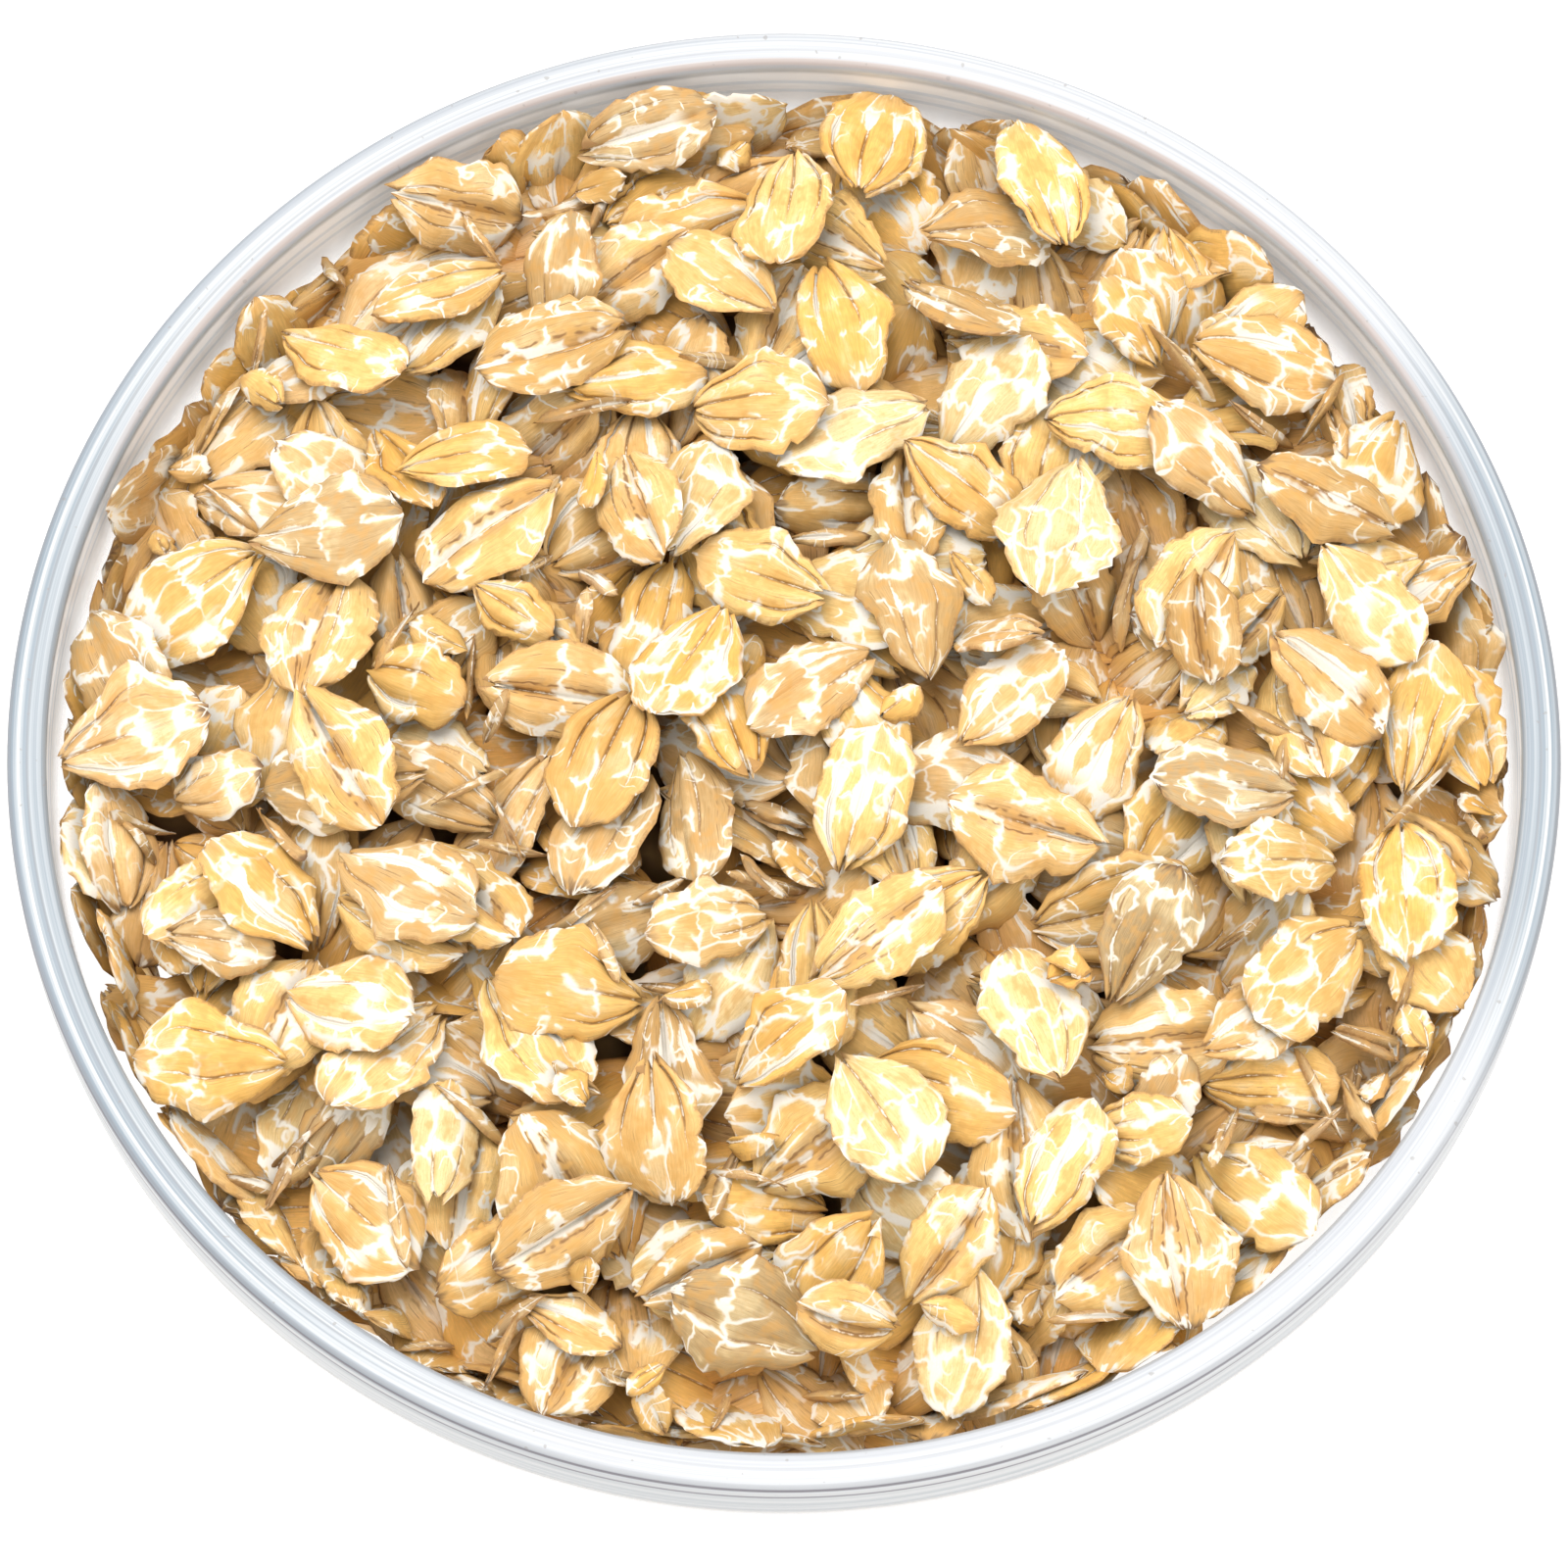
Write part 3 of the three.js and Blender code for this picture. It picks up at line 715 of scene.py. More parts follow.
# %% The pillow's surface
def grain_surfaces(laid, rows, columns, seed, petals=(3, 6), ridge=0.15, furrow=0.0, ragged=1.0):
    """Points and named values of grains. With u along the grain, v across it, both from -1 to 1:
    x = half length (u - end cut), y = v half width (1 + raggedness), and
    z = bend (u^2 - 0.3) + cup (v^2 - 0.35) + twist u v, plus or minus the half thickness, with
    petal ridges, a furrow and small waves on the upper sheet."""
    random = np.random.default_rng(seed)
    n = len(laid)

    def one(low, high):
        return random.uniform(low, high, (n, 1, 1))

    length, width, thickness, bend = (
        np.array([grain[key] for grain in laid])[:, None, None]
        for key in ("length", "width", "thickness", "bend"))
    even_u, even_v = np.linspace(-1, 1, rows + 1), np.linspace(-1, 1, columns + 1)
    u_line = 0.55 * np.sin(np.pi / 2 * even_u) + 0.45 * even_u
    v_line = 0.6 * np.sin(np.pi / 2 * even_v) + 0.4 * even_v
    u = u_line[None, :, None] * np.ones((n, 1, columns + 1))
    v = v_line[None, None, :] * np.ones((n, rows + 1, 1))
    pointed = smooth(0.2, 1, u)

    counts = random.integers(*petals, n)
    phase = petal_phase(counts, columns)[:, None, :]
    petal = 1 - np.abs(2 * (phase % 1) - 1)
    arch = 4 * (phase % 1) * (1 - phase % 1)
    own_petal = np.minimum(phase[:, 0], counts[:, None] - 1e-6).astype(int)
    next_gap = np.floor(phase[:, 0] + 0.5).astype(int)
    longest = np.take_along_axis(random.uniform(0.55, 1, (n, 8)), own_petal, axis=1)[:, None, :]
    petal_tone = np.take_along_axis(random.uniform(0, 1, (n, 8)), own_petal, axis=1)[:, None, :]
    gap_luck = np.take_along_axis(random.uniform(0, 1, (n, 8)), next_gap, axis=1)[:, None, :]
    crown = one(0.04, 0.2)

    end_share = np.where(u > 0, crown, one(0.14, 0.32))
    side = half_width(width * one(0.84, 1.0), u)
    side = width / 2 * end_share * np.abs(u) ** 6 + side * (1 - end_share * np.abs(u) ** 6)
    for way in (-1, 1):
        shoulder = one(-0.1, 0.2) * np.exp(-(((u - one(-0.55, 0.15)) / one(0.16, 0.32)) ** 2))
        dent = one(-0.04, 0.14) * np.exp(-(((u - one(0.3, 0.75)) / one(0.12, 0.3)) ** 2))
        side = side * np.where(np.sign(v) == way, 1 + shoulder - dent, 1)
    for way in (-1, 1):
        corners = angular(random, n, u_line, 6, 0.86, 1.12)[:, :, None]
        side = side * np.where(np.sign(v) == way, corners, 1)
    torn = 0.02 * waves(random, n, u_line, 5, 14, 34)[:, :, None]
    torn = torn + 0.03 * waves(random, n, u_line, 3, 4, 9)[:, :, None]
    torn = np.where(v > 0, torn, 0.022 * waves(random, n, u_line, 6, 12, 36)[:, :, None])
    for way in (-1, 1):
        for _ in range(3):
            at, depth = one(-0.85, 0.5), one(-0.04, 0.16)
            notch = np.clip(1 - np.abs(u - at) / one(0.035, 0.09), 0, 1)
            torn = torn - depth * notch * (np.sign(v) == way)
    jitter = random.normal(0, 0.014, u.shape)
    y = v * side * (1 + ragged * (torn * np.abs(v) ** 3 + jitter * np.abs(v) ** 6))

    blunt_cut = (0.12 * v**2 + 0.02 * waves(random, n, v_line, 3, 4, 12)[:, None, :]) * (u < 0)
    blunt_cut = blunt_cut + one(-0.06, 0.06) * v * (u < 0)
    point_cut = one(0.12, 0.42) * (1 - longest * petal**0.8) * (u > 0)
    x = length / 2 * (u + blunt_cut * np.abs(u) ** 8 - point_cut * np.abs(u) ** 7)
    x = x + ragged * random.normal(0, 0.02, u.shape) * (np.abs(u) > 0.99)

    edge = (1 - np.abs(v) ** 9) ** 0.5 * (1 - np.abs(u) ** 16) ** 0.5
    plateau = (1 - v**2) * (1 - u**2)
    half = thickness / 2 * (0.22 + 0.34 * plateau) * (1 - 0.35 * pointed) * edge
    middle = bend * (u**2 - 0.3) + one(-0.35, 0.3) * (v**2 - 0.35) + one(-0.4, 0.4) * u * v
    middle = middle + 0.08 * waves(random, n, u_line, 3, 3, 8)[:, :, None] * v
    middle = middle + 0.07 * waves(random, n, v_line, 3, 3, 7)[:, None, :] * (0.5 + 0.5 * u)
    middle = middle + one(-0.9, 1.1) * np.maximum(np.abs(v) - 0.68, 0) ** 1.4 * smooth(-0.6, 0.2, u)
    fold = np.abs(v - one(-0.3, 0.3)) * smooth(-1.3, 0.5, u)
    middle = middle - one(-0.25, 0.65) * (fold - 0.3)
    petal_width = 2 * side / counts[:, None, None]
    runs_down = smooth(-0.6, 0.35, u + one(-0.3, 0.3))
    relief = ridge * petal_width * (arch - 0.6) * runs_down * edge
    lane = one(-0.16, 0.16) + one(-0.08, 0.08) * u
    groove = np.maximum(1 - np.abs(v - lane) / (0.1 + 0.1 * np.abs(u)), 0)
    groove = groove * smooth(1.0, 0.6, np.abs(u))
    flank = np.exp(-(((np.abs(v - lane) - 0.42) / 0.26) ** 2)) * smooth(1.05, 0.5, np.abs(u))
    relief = relief + furrow * (0.34 * flank - 0.7 * groove) * edge
    relief = relief + random.normal(0, 0.02, u.shape) * edge
    upper = np.stack([x, y, middle + half + relief], axis=-1)
    lower = np.stack([x, y, middle - half + 0.35 * relief], axis=-1)

    to_side = side * (1 - np.abs(v))
    to_end = length / 2 * np.where(u > 0, 1.2, 0.9) * (1 - np.abs(u))
    from_edge = np.minimum(to_side, to_end)
    own = random.uniform(0, 400, (2, n, 1, 1))
    whole, luck = np.ones_like(u), one(0, 1)
    crack = np.stack([
        length / 2 * (u / 2.2 - 0.1 * np.maximum(u, 0) ** 2) + own[0],
        v * width / 2 / 1.75 + 0.15 * u * one(-1, 1) + own[1],
        whole * petal_tone], axis=-1)
    fibre = np.stack([x + own[0], v * width / 2 + own[1], whole * gap_luck], axis=-1)
    shape = np.stack([u, v, from_edge], axis=-1)
    gap = np.floor(phase + 0.5)
    between_petals = (gap > 0) & (gap < counts[:, None, None])
    to_gap = np.abs(phase - gap) * petal_width + np.where(between_petals, 0, 9)
    split = np.stack([to_gap, 0 * u, 0 * u], axis=-1)
    run = np.stack([runs_down, v - lane, whole * luck], axis=-1)
    look = np.stack([whole * one(0, 1), whole * one(0, 1), whole * one(0, 1)], axis=-1)
    values = {"crack_place": crack, "fibre_place": fibre, "grain_shape": shape,
              "gap_and_depth": split, "petal_run": run, "grain_look": look}
    return upper, lower, values


def pillow_faces(rows, columns):
    """Faces of the two sheets, each square cut in two, and for each point of the lower sheet the
    index of its own point, or of the upper sheet's where it lies on the edge."""
    count = (rows + 1) * (columns + 1)
    upper = np.arange(count).reshape(rows + 1, columns + 1)
    lower = upper.copy()
    lower[1:-1, 1:-1] = count + np.arange((rows - 1) * (columns - 1)).reshape(rows - 1, -1)

    def squares(index):
        a, b, c, d = index[:-1, :-1], index[1:, :-1], index[1:, 1:], index[:-1, 1:]
        return np.stack([a, b, c, d], axis=-1).reshape(-1, 4)

    quads = np.concatenate([squares(upper), squares(lower)[:, ::-1]])
    return np.concatenate([quads[:, [0, 1, 2]], quads[:, [0, 2, 3]]])


HIGHEST_TIP = 42.4
TIP_PRESS = 0.4


def make_grains(name, laid, rows, columns, seed, **shape):
    """One piece of many grains: each grain's surface is turned and put in its place. Tips that
    stand above the highest level are pressed down by a part of what they stand above it. The
    second number of gap_and_depth becomes the depth below the heap's dome."""
    upper, lower, values = grain_surfaces(laid, rows, columns, seed, **shape)
    n = len(laid)

    def joined(above, below):
        inner = below[:, 1:-1, 1:-1].reshape(n, -1, 3)
        return np.concatenate([above.reshape(n, -1, 3), inner], axis=1)

    local = joined(upper, lower)
    turns = np.array([grain["turn"] for grain in laid])
    places = np.array([grain["place"] for grain in laid])
    points = local @ turns.transpose(0, 2, 1) + places[:, None]
    above = np.maximum(points[..., 2] - HIGHEST_TIP, 0)
    points[..., 2] -= above * TIP_PRESS
    faces = pillow_faces(rows, columns)
    faces = (faces[None] + np.arange(n)[:, None, None] * local.shape[1]).reshape(-1, 3)
    values = {key: joined(value, value) for key, value in values.items()}
    depth = heap_height(np.hypot(points[..., 0], points[..., 1])) - points[..., 2]
    values["gap_and_depth"][..., 1] = depth
    values = {key: value.reshape(-1, 3) for key, value in values.items()}
    piece = make_piece(name, points.reshape(-1, 3), faces, values)
    piece.data.set_sharp_from_angle(angle=math.radians(60))
    return piece


# %% [markdown]
# ## Sorting the grains into kinds
#
# In the photograph about half of the grains lie with the husk's back up, and their petals are
# plain golden or cracked all over. A quarter lie with the crease up, greyer and striped. One in
# ten is weathered, greyish with dark ends, and one in eight has lost its husk and is cream with
# white starch. What hardly shows gets fewer faces, and what doesn't show at all isn't made.

# %% Grains by kind
KIND_SHARES = [0.28, 0.26, 0.24, 0.12, 0.10]
SHOWS_WELL, SHOWS_AT_ALL = 6.0, 0.5

chooser = np.random.default_rng(11)
kind_of = chooser.choice(len(KIND_SHARES), grain_count, p=KIND_SHARES)
kinds = [[grains[i] for i in range(laid_count) if seen[i] > SHOWS_WELL and kind_of[i] == kind]
         for kind in range(len(KIND_SHARES))]
in_holes = [grains[i] for i in range(laid_count, grain_count) if seen[i] > SHOWS_WELL]
hidden = [grains[i] for i in range(grain_count) if SHOWS_AT_ALL < seen[i] <= SHOWS_WELL]
torn_strips, broken_bits = ([grain for grain in grains if grain.get("loose") == kind]
                            for kind in ("strip", "crumb"))
golden = make_grains("golden_grains", kinds[0], 24, 16, 21, petals=(3, 6), ridge=0.42)
cracked = make_grains("cracked_grains", kinds[1], 24, 16, 22, petals=(3, 5), ridge=0.28)
creased = make_grains("creased_grains", kinds[2], 24, 16, 23, petals=(2, 4), ridge=0.16, furrow=1.0)
starchy = make_grains("starchy_grains", kinds[3], 24, 16, 24, petals=(2, 4), ridge=0.05, ragged=1.3)
weathered = make_grains("weathered_grains", kinds[4], 24, 16, 26, petals=(3, 5), ridge=0.2,
                        furrow=0.5)
filling = make_grains("filling_grains", in_holes, 24, 16, 30, petals=(3, 6), ridge=0.25,
                      furrow=0.2)
buried = make_grains("buried_grains", hidden, 12, 8, 25, petals=(3, 5), ridge=0.15)
strips = make_grains("husk_strips", torn_strips, 14, 6, 27, petals=(2, 3), ridge=0.5, ragged=1.5)
crumbs = make_grains("grain_crumbs", broken_bits, 12, 10, 28, petals=(2, 4), ridge=0.2, ragged=2.0)
at_wall = make_grains("wall_grains", wall_grains, 12, 8, 29, petals=(3, 5), ridge=0.2, furrow=0.3)

# %% [markdown]
# ## The packed middle
#
# Between the grains one looks down into deep brown shadow. A brown core under the laid grains
# stands for what is packed below them, so that no light comes up between them from the floor.

# %% Core
CORE_SIDES = 96
CORE_INSET = 5.0
CORE_DEPTH = 4.5
CORE_RISE = 3.5


def core_profile():
    """The bowl's inside curve moved in, then a low dome, from the axis to the axis."""
    top = HEAP_EDGE - CORE_DEPTH
    floor = FLOOR_HEIGHT + CORE_INSET
    edge_angle = math.asin((SIDE_TOP - BOWL_HEIGHT - top) / (SIDE_TOP - floor))
    wall = side_curve(RIM_WIDTH + CORE_INSET, floor, np.pi / 2, edge_angle, 16)
    radius = wall[-1, 0] * (1 - np.linspace(0, 1, 14)[1:])
    height = BOWL_HEIGHT + top + CORE_RISE * (1 - (radius / wall[-1, 0]) ** 2)
    dome = np.stack([radius, height], axis=1)
    return np.concatenate([[[0, floor]], wall, dome])


core = make_piece("packed_core", *turned(core_profile(), CORE_SIDES))
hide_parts("barley_heap")

# %% [markdown]
# ## Writing a finish as sums
#
# A finish is a net of nodes, and most of them do plain arithmetic. This small class wraps a
# socket, so that an expression such as 1 - mask * 0.5 adds the Math nodes it needs. Every other
# node comes from one method, which takes the node's type, its settings and what goes into its
# sockets.

# %% Signals and finishes
class Signal:
    """A node's output. Arithmetic on it adds Math nodes."""

    def __init__(self, finish, socket):
        self.finish, self.socket = finish, socket

    def math(self, operation, *items):
        """A Math node of this operation on the items."""
        return self.finish.node("ShaderNodeMath", {"operation": operation}, dict(enumerate(items)))

    def __add__(self, other):
        return self.math("ADD", self, other)

    def __sub__(self, other):
        return self.math("SUBTRACT", self, other)

    def __rsub__(self, other):
        return self.math("SUBTRACT", other, self)

    def __mul__(self, other):
        return self.math("MULTIPLY", self, other)

    def __pow__(self, other):
        return self.math("POWER", self, other)

    def __abs__(self):
        return self.math("ABSOLUTE", self)

    __radd__, __rmul__ = __add__, __mul__

    def most(self, other):
        """The larger of the two."""
        return self.math("MAXIMUM", self, other)

    def rise(self, low, high):
        """0 below low, 1 above high, smooth between. Low may be the higher one."""
        settings = {"interpolation_type": "SMOOTHSTEP"}
        values = {"Value": self, "From Min": low, "From Max": high}
        return self.finish.node("ShaderNodeMapRange", settings, values)


class Finish:
    """A material with a Principled shader and ways to add nodes to it."""

    def __init__(self, name):
        self.material = bpy.data.materials.new(name)
        self.material.use_nodes = True
        self.tree = self.material.node_tree
        self.shader = self.tree.nodes["Principled BSDF"]
        self.output = self.tree.nodes["Material Output"]

    def put(self, socket, item):
        """Links a signal to a socket, or sets the socket's own value, as long as it has to be."""
        if isinstance(item, Signal):
            self.tree.links.new(item.socket, socket)
        elif hasattr(socket.default_value, "__len__") and not hasattr(item, "__len__"):
            socket.default_value = [item] * len(socket.default_value)
        elif hasattr(item, "__len__") and len(socket.default_value) == 4 and len(item) == 3:
            socket.default_value = (*item, 1)
        else:
            socket.default_value = item

    def node(self, kind, settings=None, values=None, output=0):
        """Adds a node: its type, its settings, then values or signals for its sockets."""
        made = self.tree.nodes.new(kind)
        for key, setting in (settings or {}).items():
            setattr(made, key, setting)
        for key, item in (values or {}).items():
            self.put(made.inputs[key], item)
        return Signal(self, made.outputs[output])

    def mix(self, factor, first, second, blend="MIX"):
        """A colour between first and second."""
        settings = {"data_type": "RGBA", "blend_type": blend, "clamp_factor": True}
        return self.node("ShaderNodeMix", settings, {0: factor, 6: first, 7: second}, output=2)

    def stored(self, name):
        """The three numbers that a piece stores for each point under this name."""
        settings = {"attribute_type": "GEOMETRY", "attribute_name": name}
        vector = self.node("ShaderNodeAttribute", settings, output=1)
        parts = [self.node("ShaderNodeSeparateXYZ", None, {0: vector}, output=i) for i in range(3)]
        return vector, *parts

    def point(self, x=0.0, y=0.0, z=0.0):
        """A vector or a colour of three numbers."""
        return self.node("ShaderNodeCombineXYZ", None, {0: x, 1: y, 2: z})

    def noise(self, vector, scale, detail=2.0, rough=0.5, flat=True):
        """Cloudy noise from 0 to 1, over a plane or, where it isn't flat, in space."""
        settings = {"noise_dimensions": "2D" if flat else "3D", "normalize": True}
        values = {"Vector": vector, "Scale": scale, "Detail": detail, "Roughness": rough}
        return self.node("ShaderNodeTexNoise", settings, values)

    def set(self, **values):
        """Sets or links sockets of the shader, by their names with _ for each space."""
        for key, item in values.items():
            self.put(self.shader.inputs[key.replace("_", " ")], item)


# %% [markdown]
# ## The finish of the grains
#
# When a dry grain is pressed, its husk breaks into plates, and the white starch below shows in
# the cracks between them. The cracks are the borders of a Voronoi pattern. It is laid out in the
# grain's own measures, where it narrows with the grain, and its borders are widened and narrowed
# by a slow noise. Towards the petals' points the cracks follow the gaps between the petals, and
# short ones run in from the sides like rungs, across the grain. Where a gap stays closed, a painted
# shade darkens it. On top come fine fibres along the grain, thin brown veins, a browner torn edge
# that is partly the husk's own brown and partly painted shade, a grey-tan blunt end and a darker
# point. Each grain and each petal has its own tone, and what lies deep in the heap is browner by a
# painted shade.

# %% Grain finish
def grain_finish(name, golden, pale, tan, starch, cracks, veins, stripe=0.0, painted_depth_shade=0.8):
    """A dry husk: white wherever the distance to the nearest crack, petal gap, rung or furrow is
    less than the width that slow noise gives it there, and otherwise a colour between golden,
    pale and tan by the grain's hue and age, times a shade of its tone and fibres. starch widens
    the white, cracks sets how many cracks are open, veins darkens the lines along the grain,
    stripe whitens the furrow, and shaded sets how strongly a painted brown shade darkens the
    grain deep down between its neighbours, where only their glow lights it."""
    f = Finish(name)
    crack_place, crack_x, crack_y, petal_tone = f.stored("crack_place")
    _, along, across, gap_luck = f.stored("fibre_place")
    _, u, v, from_edge = f.stored("grain_shape")
    _, to_gap, depth, _ = f.stored("gap_and_depth")
    _, runs_down, off_furrow, luck = f.stored("petal_run")
    _, tone, hue, age = f.stored("grain_look")

    slow = f.noise(crack_place, 0.9, 0)
    mid = f.noise(crack_place, 2.6, 1)
    fine = f.noise(crack_place, 11, 1, 0.6)
    bent = f.point(crack_x + (mid - 0.5) * 0.5, crack_y + (slow - 0.5) * 0.9)
    borders = {"voronoi_dimensions": "2D", "feature": "DISTANCE_TO_EDGE"}
    plates = {"Vector": bent, "Scale": 0.8, "Randomness": 0.6}
    wide = f.node("ShaderNodeTexVoronoi", borders, plates)
    flat_part = 1 - runs_down * 0.85
    open_wide = (slow * 0.8 + mid * 0.2).rise(0.48 - cracks * 0.14, 0.68) * (0.05 + cracks * 0.055)
    open_wide = (open_wide + starch) * flat_part
    in_wide = (wide + (fine - 0.5) * 0.03).rise(open_wide + 0.08, open_wide - 0.02)
    in_wide = in_wide * open_wide.rise(0.002, 0.014)
    gap_open = (gap_luck * 0.5 + slow * 0.5).rise(0.56 - cracks * 0.08, 0.8)
    gap_open = gap_open * (1.06 - u) * (0.2 + cracks * 0.25)
    gap_side = to_gap + (mid - 0.5) * 0.2 + (fine - 0.5) * 0.1
    in_gap = gap_side.rise(gap_open + 0.04, gap_open - 0.05) * runs_down.rise(0.05, 0.5)
    rung_place = u * 3.0 + slow * 2.4 + (mid - 0.5) * 0.35 + v * (luck - 0.5) * 0.8
    rungs = abs(rung_place.math("FRACT", rung_place) - 0.5)
    rung_open = from_edge.rise(2.2 + cracks * 1.2, 0.4) * slow.rise(0.46, 0.58)
    rung_open = rung_open * (0.035 + cracks * 0.042)
    in_rung = rungs.rise(rung_open + 0.06, rung_open - 0.02) * rung_open.rise(0.01, 0.04) * 0.9
    in_rung = in_rung * u.rise(0.75, 0.4)
    furrow_line = off_furrow + (mid - 0.5) * 0.12
    in_furrow = abs(furrow_line).rise(0.11, 0.05) * (slow * 0.7 + mid * 0.3).rise(0.42, 0.5)
    white = in_wide.most(in_gap).most(in_rung).most(in_furrow * stripe)

    halo = wide.rise(open_wide + 0.26, open_wide + 0.02) * open_wide.rise(0.0, 0.08)
    halo = halo.most(in_gap).most(in_rung)
    fibres = f.noise(f.point(along * 0.09, across), 8.0, 1, 0.65)
    veins_at = f.noise(f.point(along * 0.012 + luck * 20, v * 5), 2.8, 0)
    vein = abs(veins_at - 0.5).rise(0.02, 0.003) * mid.rise(0.38, 0.6) * veins
    # Painted shade: where the gaps between the petals don't open white, their slits are darkened.
    petal_gap_shade = to_gap.rise(0.09, 0.02) * (1 - in_gap) * runs_down.rise(0.2, 0.7)
    beside = abs(abs(furrow_line) - 0.14).rise(0.03, 0.008) * mid.rise(0.36, 0.52) * stripe

    warm = f.mix(hue, golden, pale)
    grey_part = (age.rise(0.5, 1) + slow.rise(0.55, 0.75) * 0.5) * 0.8
    grey_part = grey_part.most(u.rise(-0.5, -0.95) * 0.7)
    grey_flank = abs(furrow_line).rise(0.42, 0.2) * (mid + 0.1).rise(0.3, 0.6)
    grey_part = grey_part.most(grey_flank * stripe)
    warm = f.mix(grey_part, warm, tan)
    cream = (slow * 0.6 + mid * 0.4).rise(0.45, 0.75) * 0.5
    warm = f.mix((halo * 0.75).most(cream), warm, (0.93, 0.74, 0.42))
    shade = 0.68 + tone * 0.22 + fibres * 0.36 + (petal_tone - 0.5) * 0.24 * runs_down
    warm = f.mix(1.0, warm, f.point(shade, shade ** 1.15, shade ** 1.6), "MULTIPLY")
    warm = f.mix(fine.rise(0.5, 0.85) * 0.35, warm, (0.62, 0.38, 0.15))
    warm = f.mix((mid * 0.6 + slow * 0.4).rise(0.48, 0.3) * 0.5, warm, (0.66, 0.35, 0.09))
    # This dark brown is the husk's own for the veins and the lines beside the furrow, and painted
    # shade in the petal slits.
    warm = f.mix((vein * 0.8).most(beside * 0.85).most(petal_gap_shade * 0.75), warm, (0.26, 0.13, 0.05))
    # The brown along the torn edge is partly the husk's own fringe and partly painted shade at the
    # grain's edge.
    rim = (from_edge + (fine - 0.5) * 0.3).rise(0.24, 0.02) * mid.rise(0.3, 0.5)
    warm = f.mix(rim * 0.75, warm, (0.40, 0.21, 0.08))
    tip = (u + (mid - 0.5) * 0.3).rise(0.9, 1.0) * age.rise(0.2, 0.7)
    warm = f.mix(tip * 0.7, warm, (0.40, 0.22, 0.09))
    butt = (mid * 0.3 - u).rise(0.95, 1.15) * age.rise(0.55, 0.95)
    warm = f.mix(butt * 0.85, warm, (0.13, 0.07, 0.04))
    chalk = f.mix(fine, (0.88, 0.81, 0.68), (0.91, 0.87, 0.80))
    colour = f.mix(white, warm, chalk)
    # Painted shade: the grain is made browner with its depth below the heap's dome, where little
    # light reaches it.
    if painted_depth_shade:
        deep = (depth + (mid - 0.5) * 1.5).rise(0.8, 5.0) * painted_depth_shade
        colour = f.mix(deep, colour, f.mix(1.0, colour, (0.76, 0.47, 0.24), "MULTIPLY"))
    f.set(Base_Color=colour, Roughness=0.6, Specular_IOR_Level=0.3)
    height = to_gap.rise(0.12, 0.02) * runs_down * -0.6
    bump = f.node("ShaderNodeBump", None, {"Strength": 0.7, "Distance": 0.0002, "Height": height})
    f.set(Normal=bump)
    return f.material


# %% The husks, one for each kind of grain
GOLDEN, PALE, TAN = (0.84, 0.475, 0.115), (0.87, 0.57, 0.20), (0.64, 0.39, 0.155)
husks = {
    golden: ("golden_husk", GOLDEN, (0.86, 0.56, 0.20), (0.76, 0.47, 0.19), 0.0, 0.3, 0.5),
    cracked: ("cracked_husk", GOLDEN, PALE, (0.76, 0.50, 0.25), 0.01, 1.0, 0.5),
    creased: ("creased_husk", (0.80, 0.50, 0.19), PALE, TAN, 0.0, 0.6, 1.0, 1.0),
    starchy: ("starchy_grain", (0.84, 0.59, 0.26), (0.86, 0.66, 0.35), PALE, 0.035, 1.0, 0.3),
    weathered: ("weathered_husk", (0.62, 0.40, 0.17), TAN, (0.48, 0.36, 0.20), 0.0, 0.7, 1.0),
    # Painted shade: the grains in the holes and the half-hidden ones get a darker, more saturated
    # golden than the lit ones, for the warm shade between grains.
    filling: ("filling_husk", (0.80, 0.46, 0.14), (0.74, 0.48, 0.20), TAN, 0.0, 0.15, 1.0, 0.5),
    buried: ("buried_husk", (0.76, 0.42, 0.12), GOLDEN, TAN, 0.0, 0.3, 0.5),
    strips: ("strip_husk", (0.66, 0.43, 0.18), (0.52, 0.35, 0.19), TAN, 0.0, 0.0, 1.0),
    crumbs: ("crumb", GOLDEN, PALE, TAN, 0.0, 0.5, 0.3),
    at_wall: ("wall_husk", GOLDEN, PALE, TAN, 0.0, 0.7, 0.7, 0.3, 0.0),
}
for piece, look in husks.items():
    piece.data.materials.append(grain_finish(*look))
    print(piece.name, "has", len(piece.active_material.node_tree.nodes), "nodes in its finish")

# %% [markdown]
# The core stands for broken grains and dust packed together. Its lumps are the cells of a Voronoi
# pattern, each darkened round its border by a painted shade, and a finer noise mottles them.

# %% The packed meal
dust = Finish("packed_meal")
place = dust.node("ShaderNodeTexCoord", None, None, output=3)
lumps = dust.noise(place, 700, 1, flat=False)
between = dust.node("ShaderNodeTexVoronoi", {"feature": "DISTANCE_TO_EDGE"},
                    {"Vector": place, "Scale": 190.0})
# Painted shade: the lumps go nearly black towards their borders, where they meet.
packed = between.rise(0.0, 0.3) * (0.45 + lumps * 0.9)
dust.set(Base_Color=dust.mix(packed, (0.12, 0.05, 0.015), (0.66, 0.38, 0.14)), Roughness=0.9)
core.data.materials.append(dust.material)
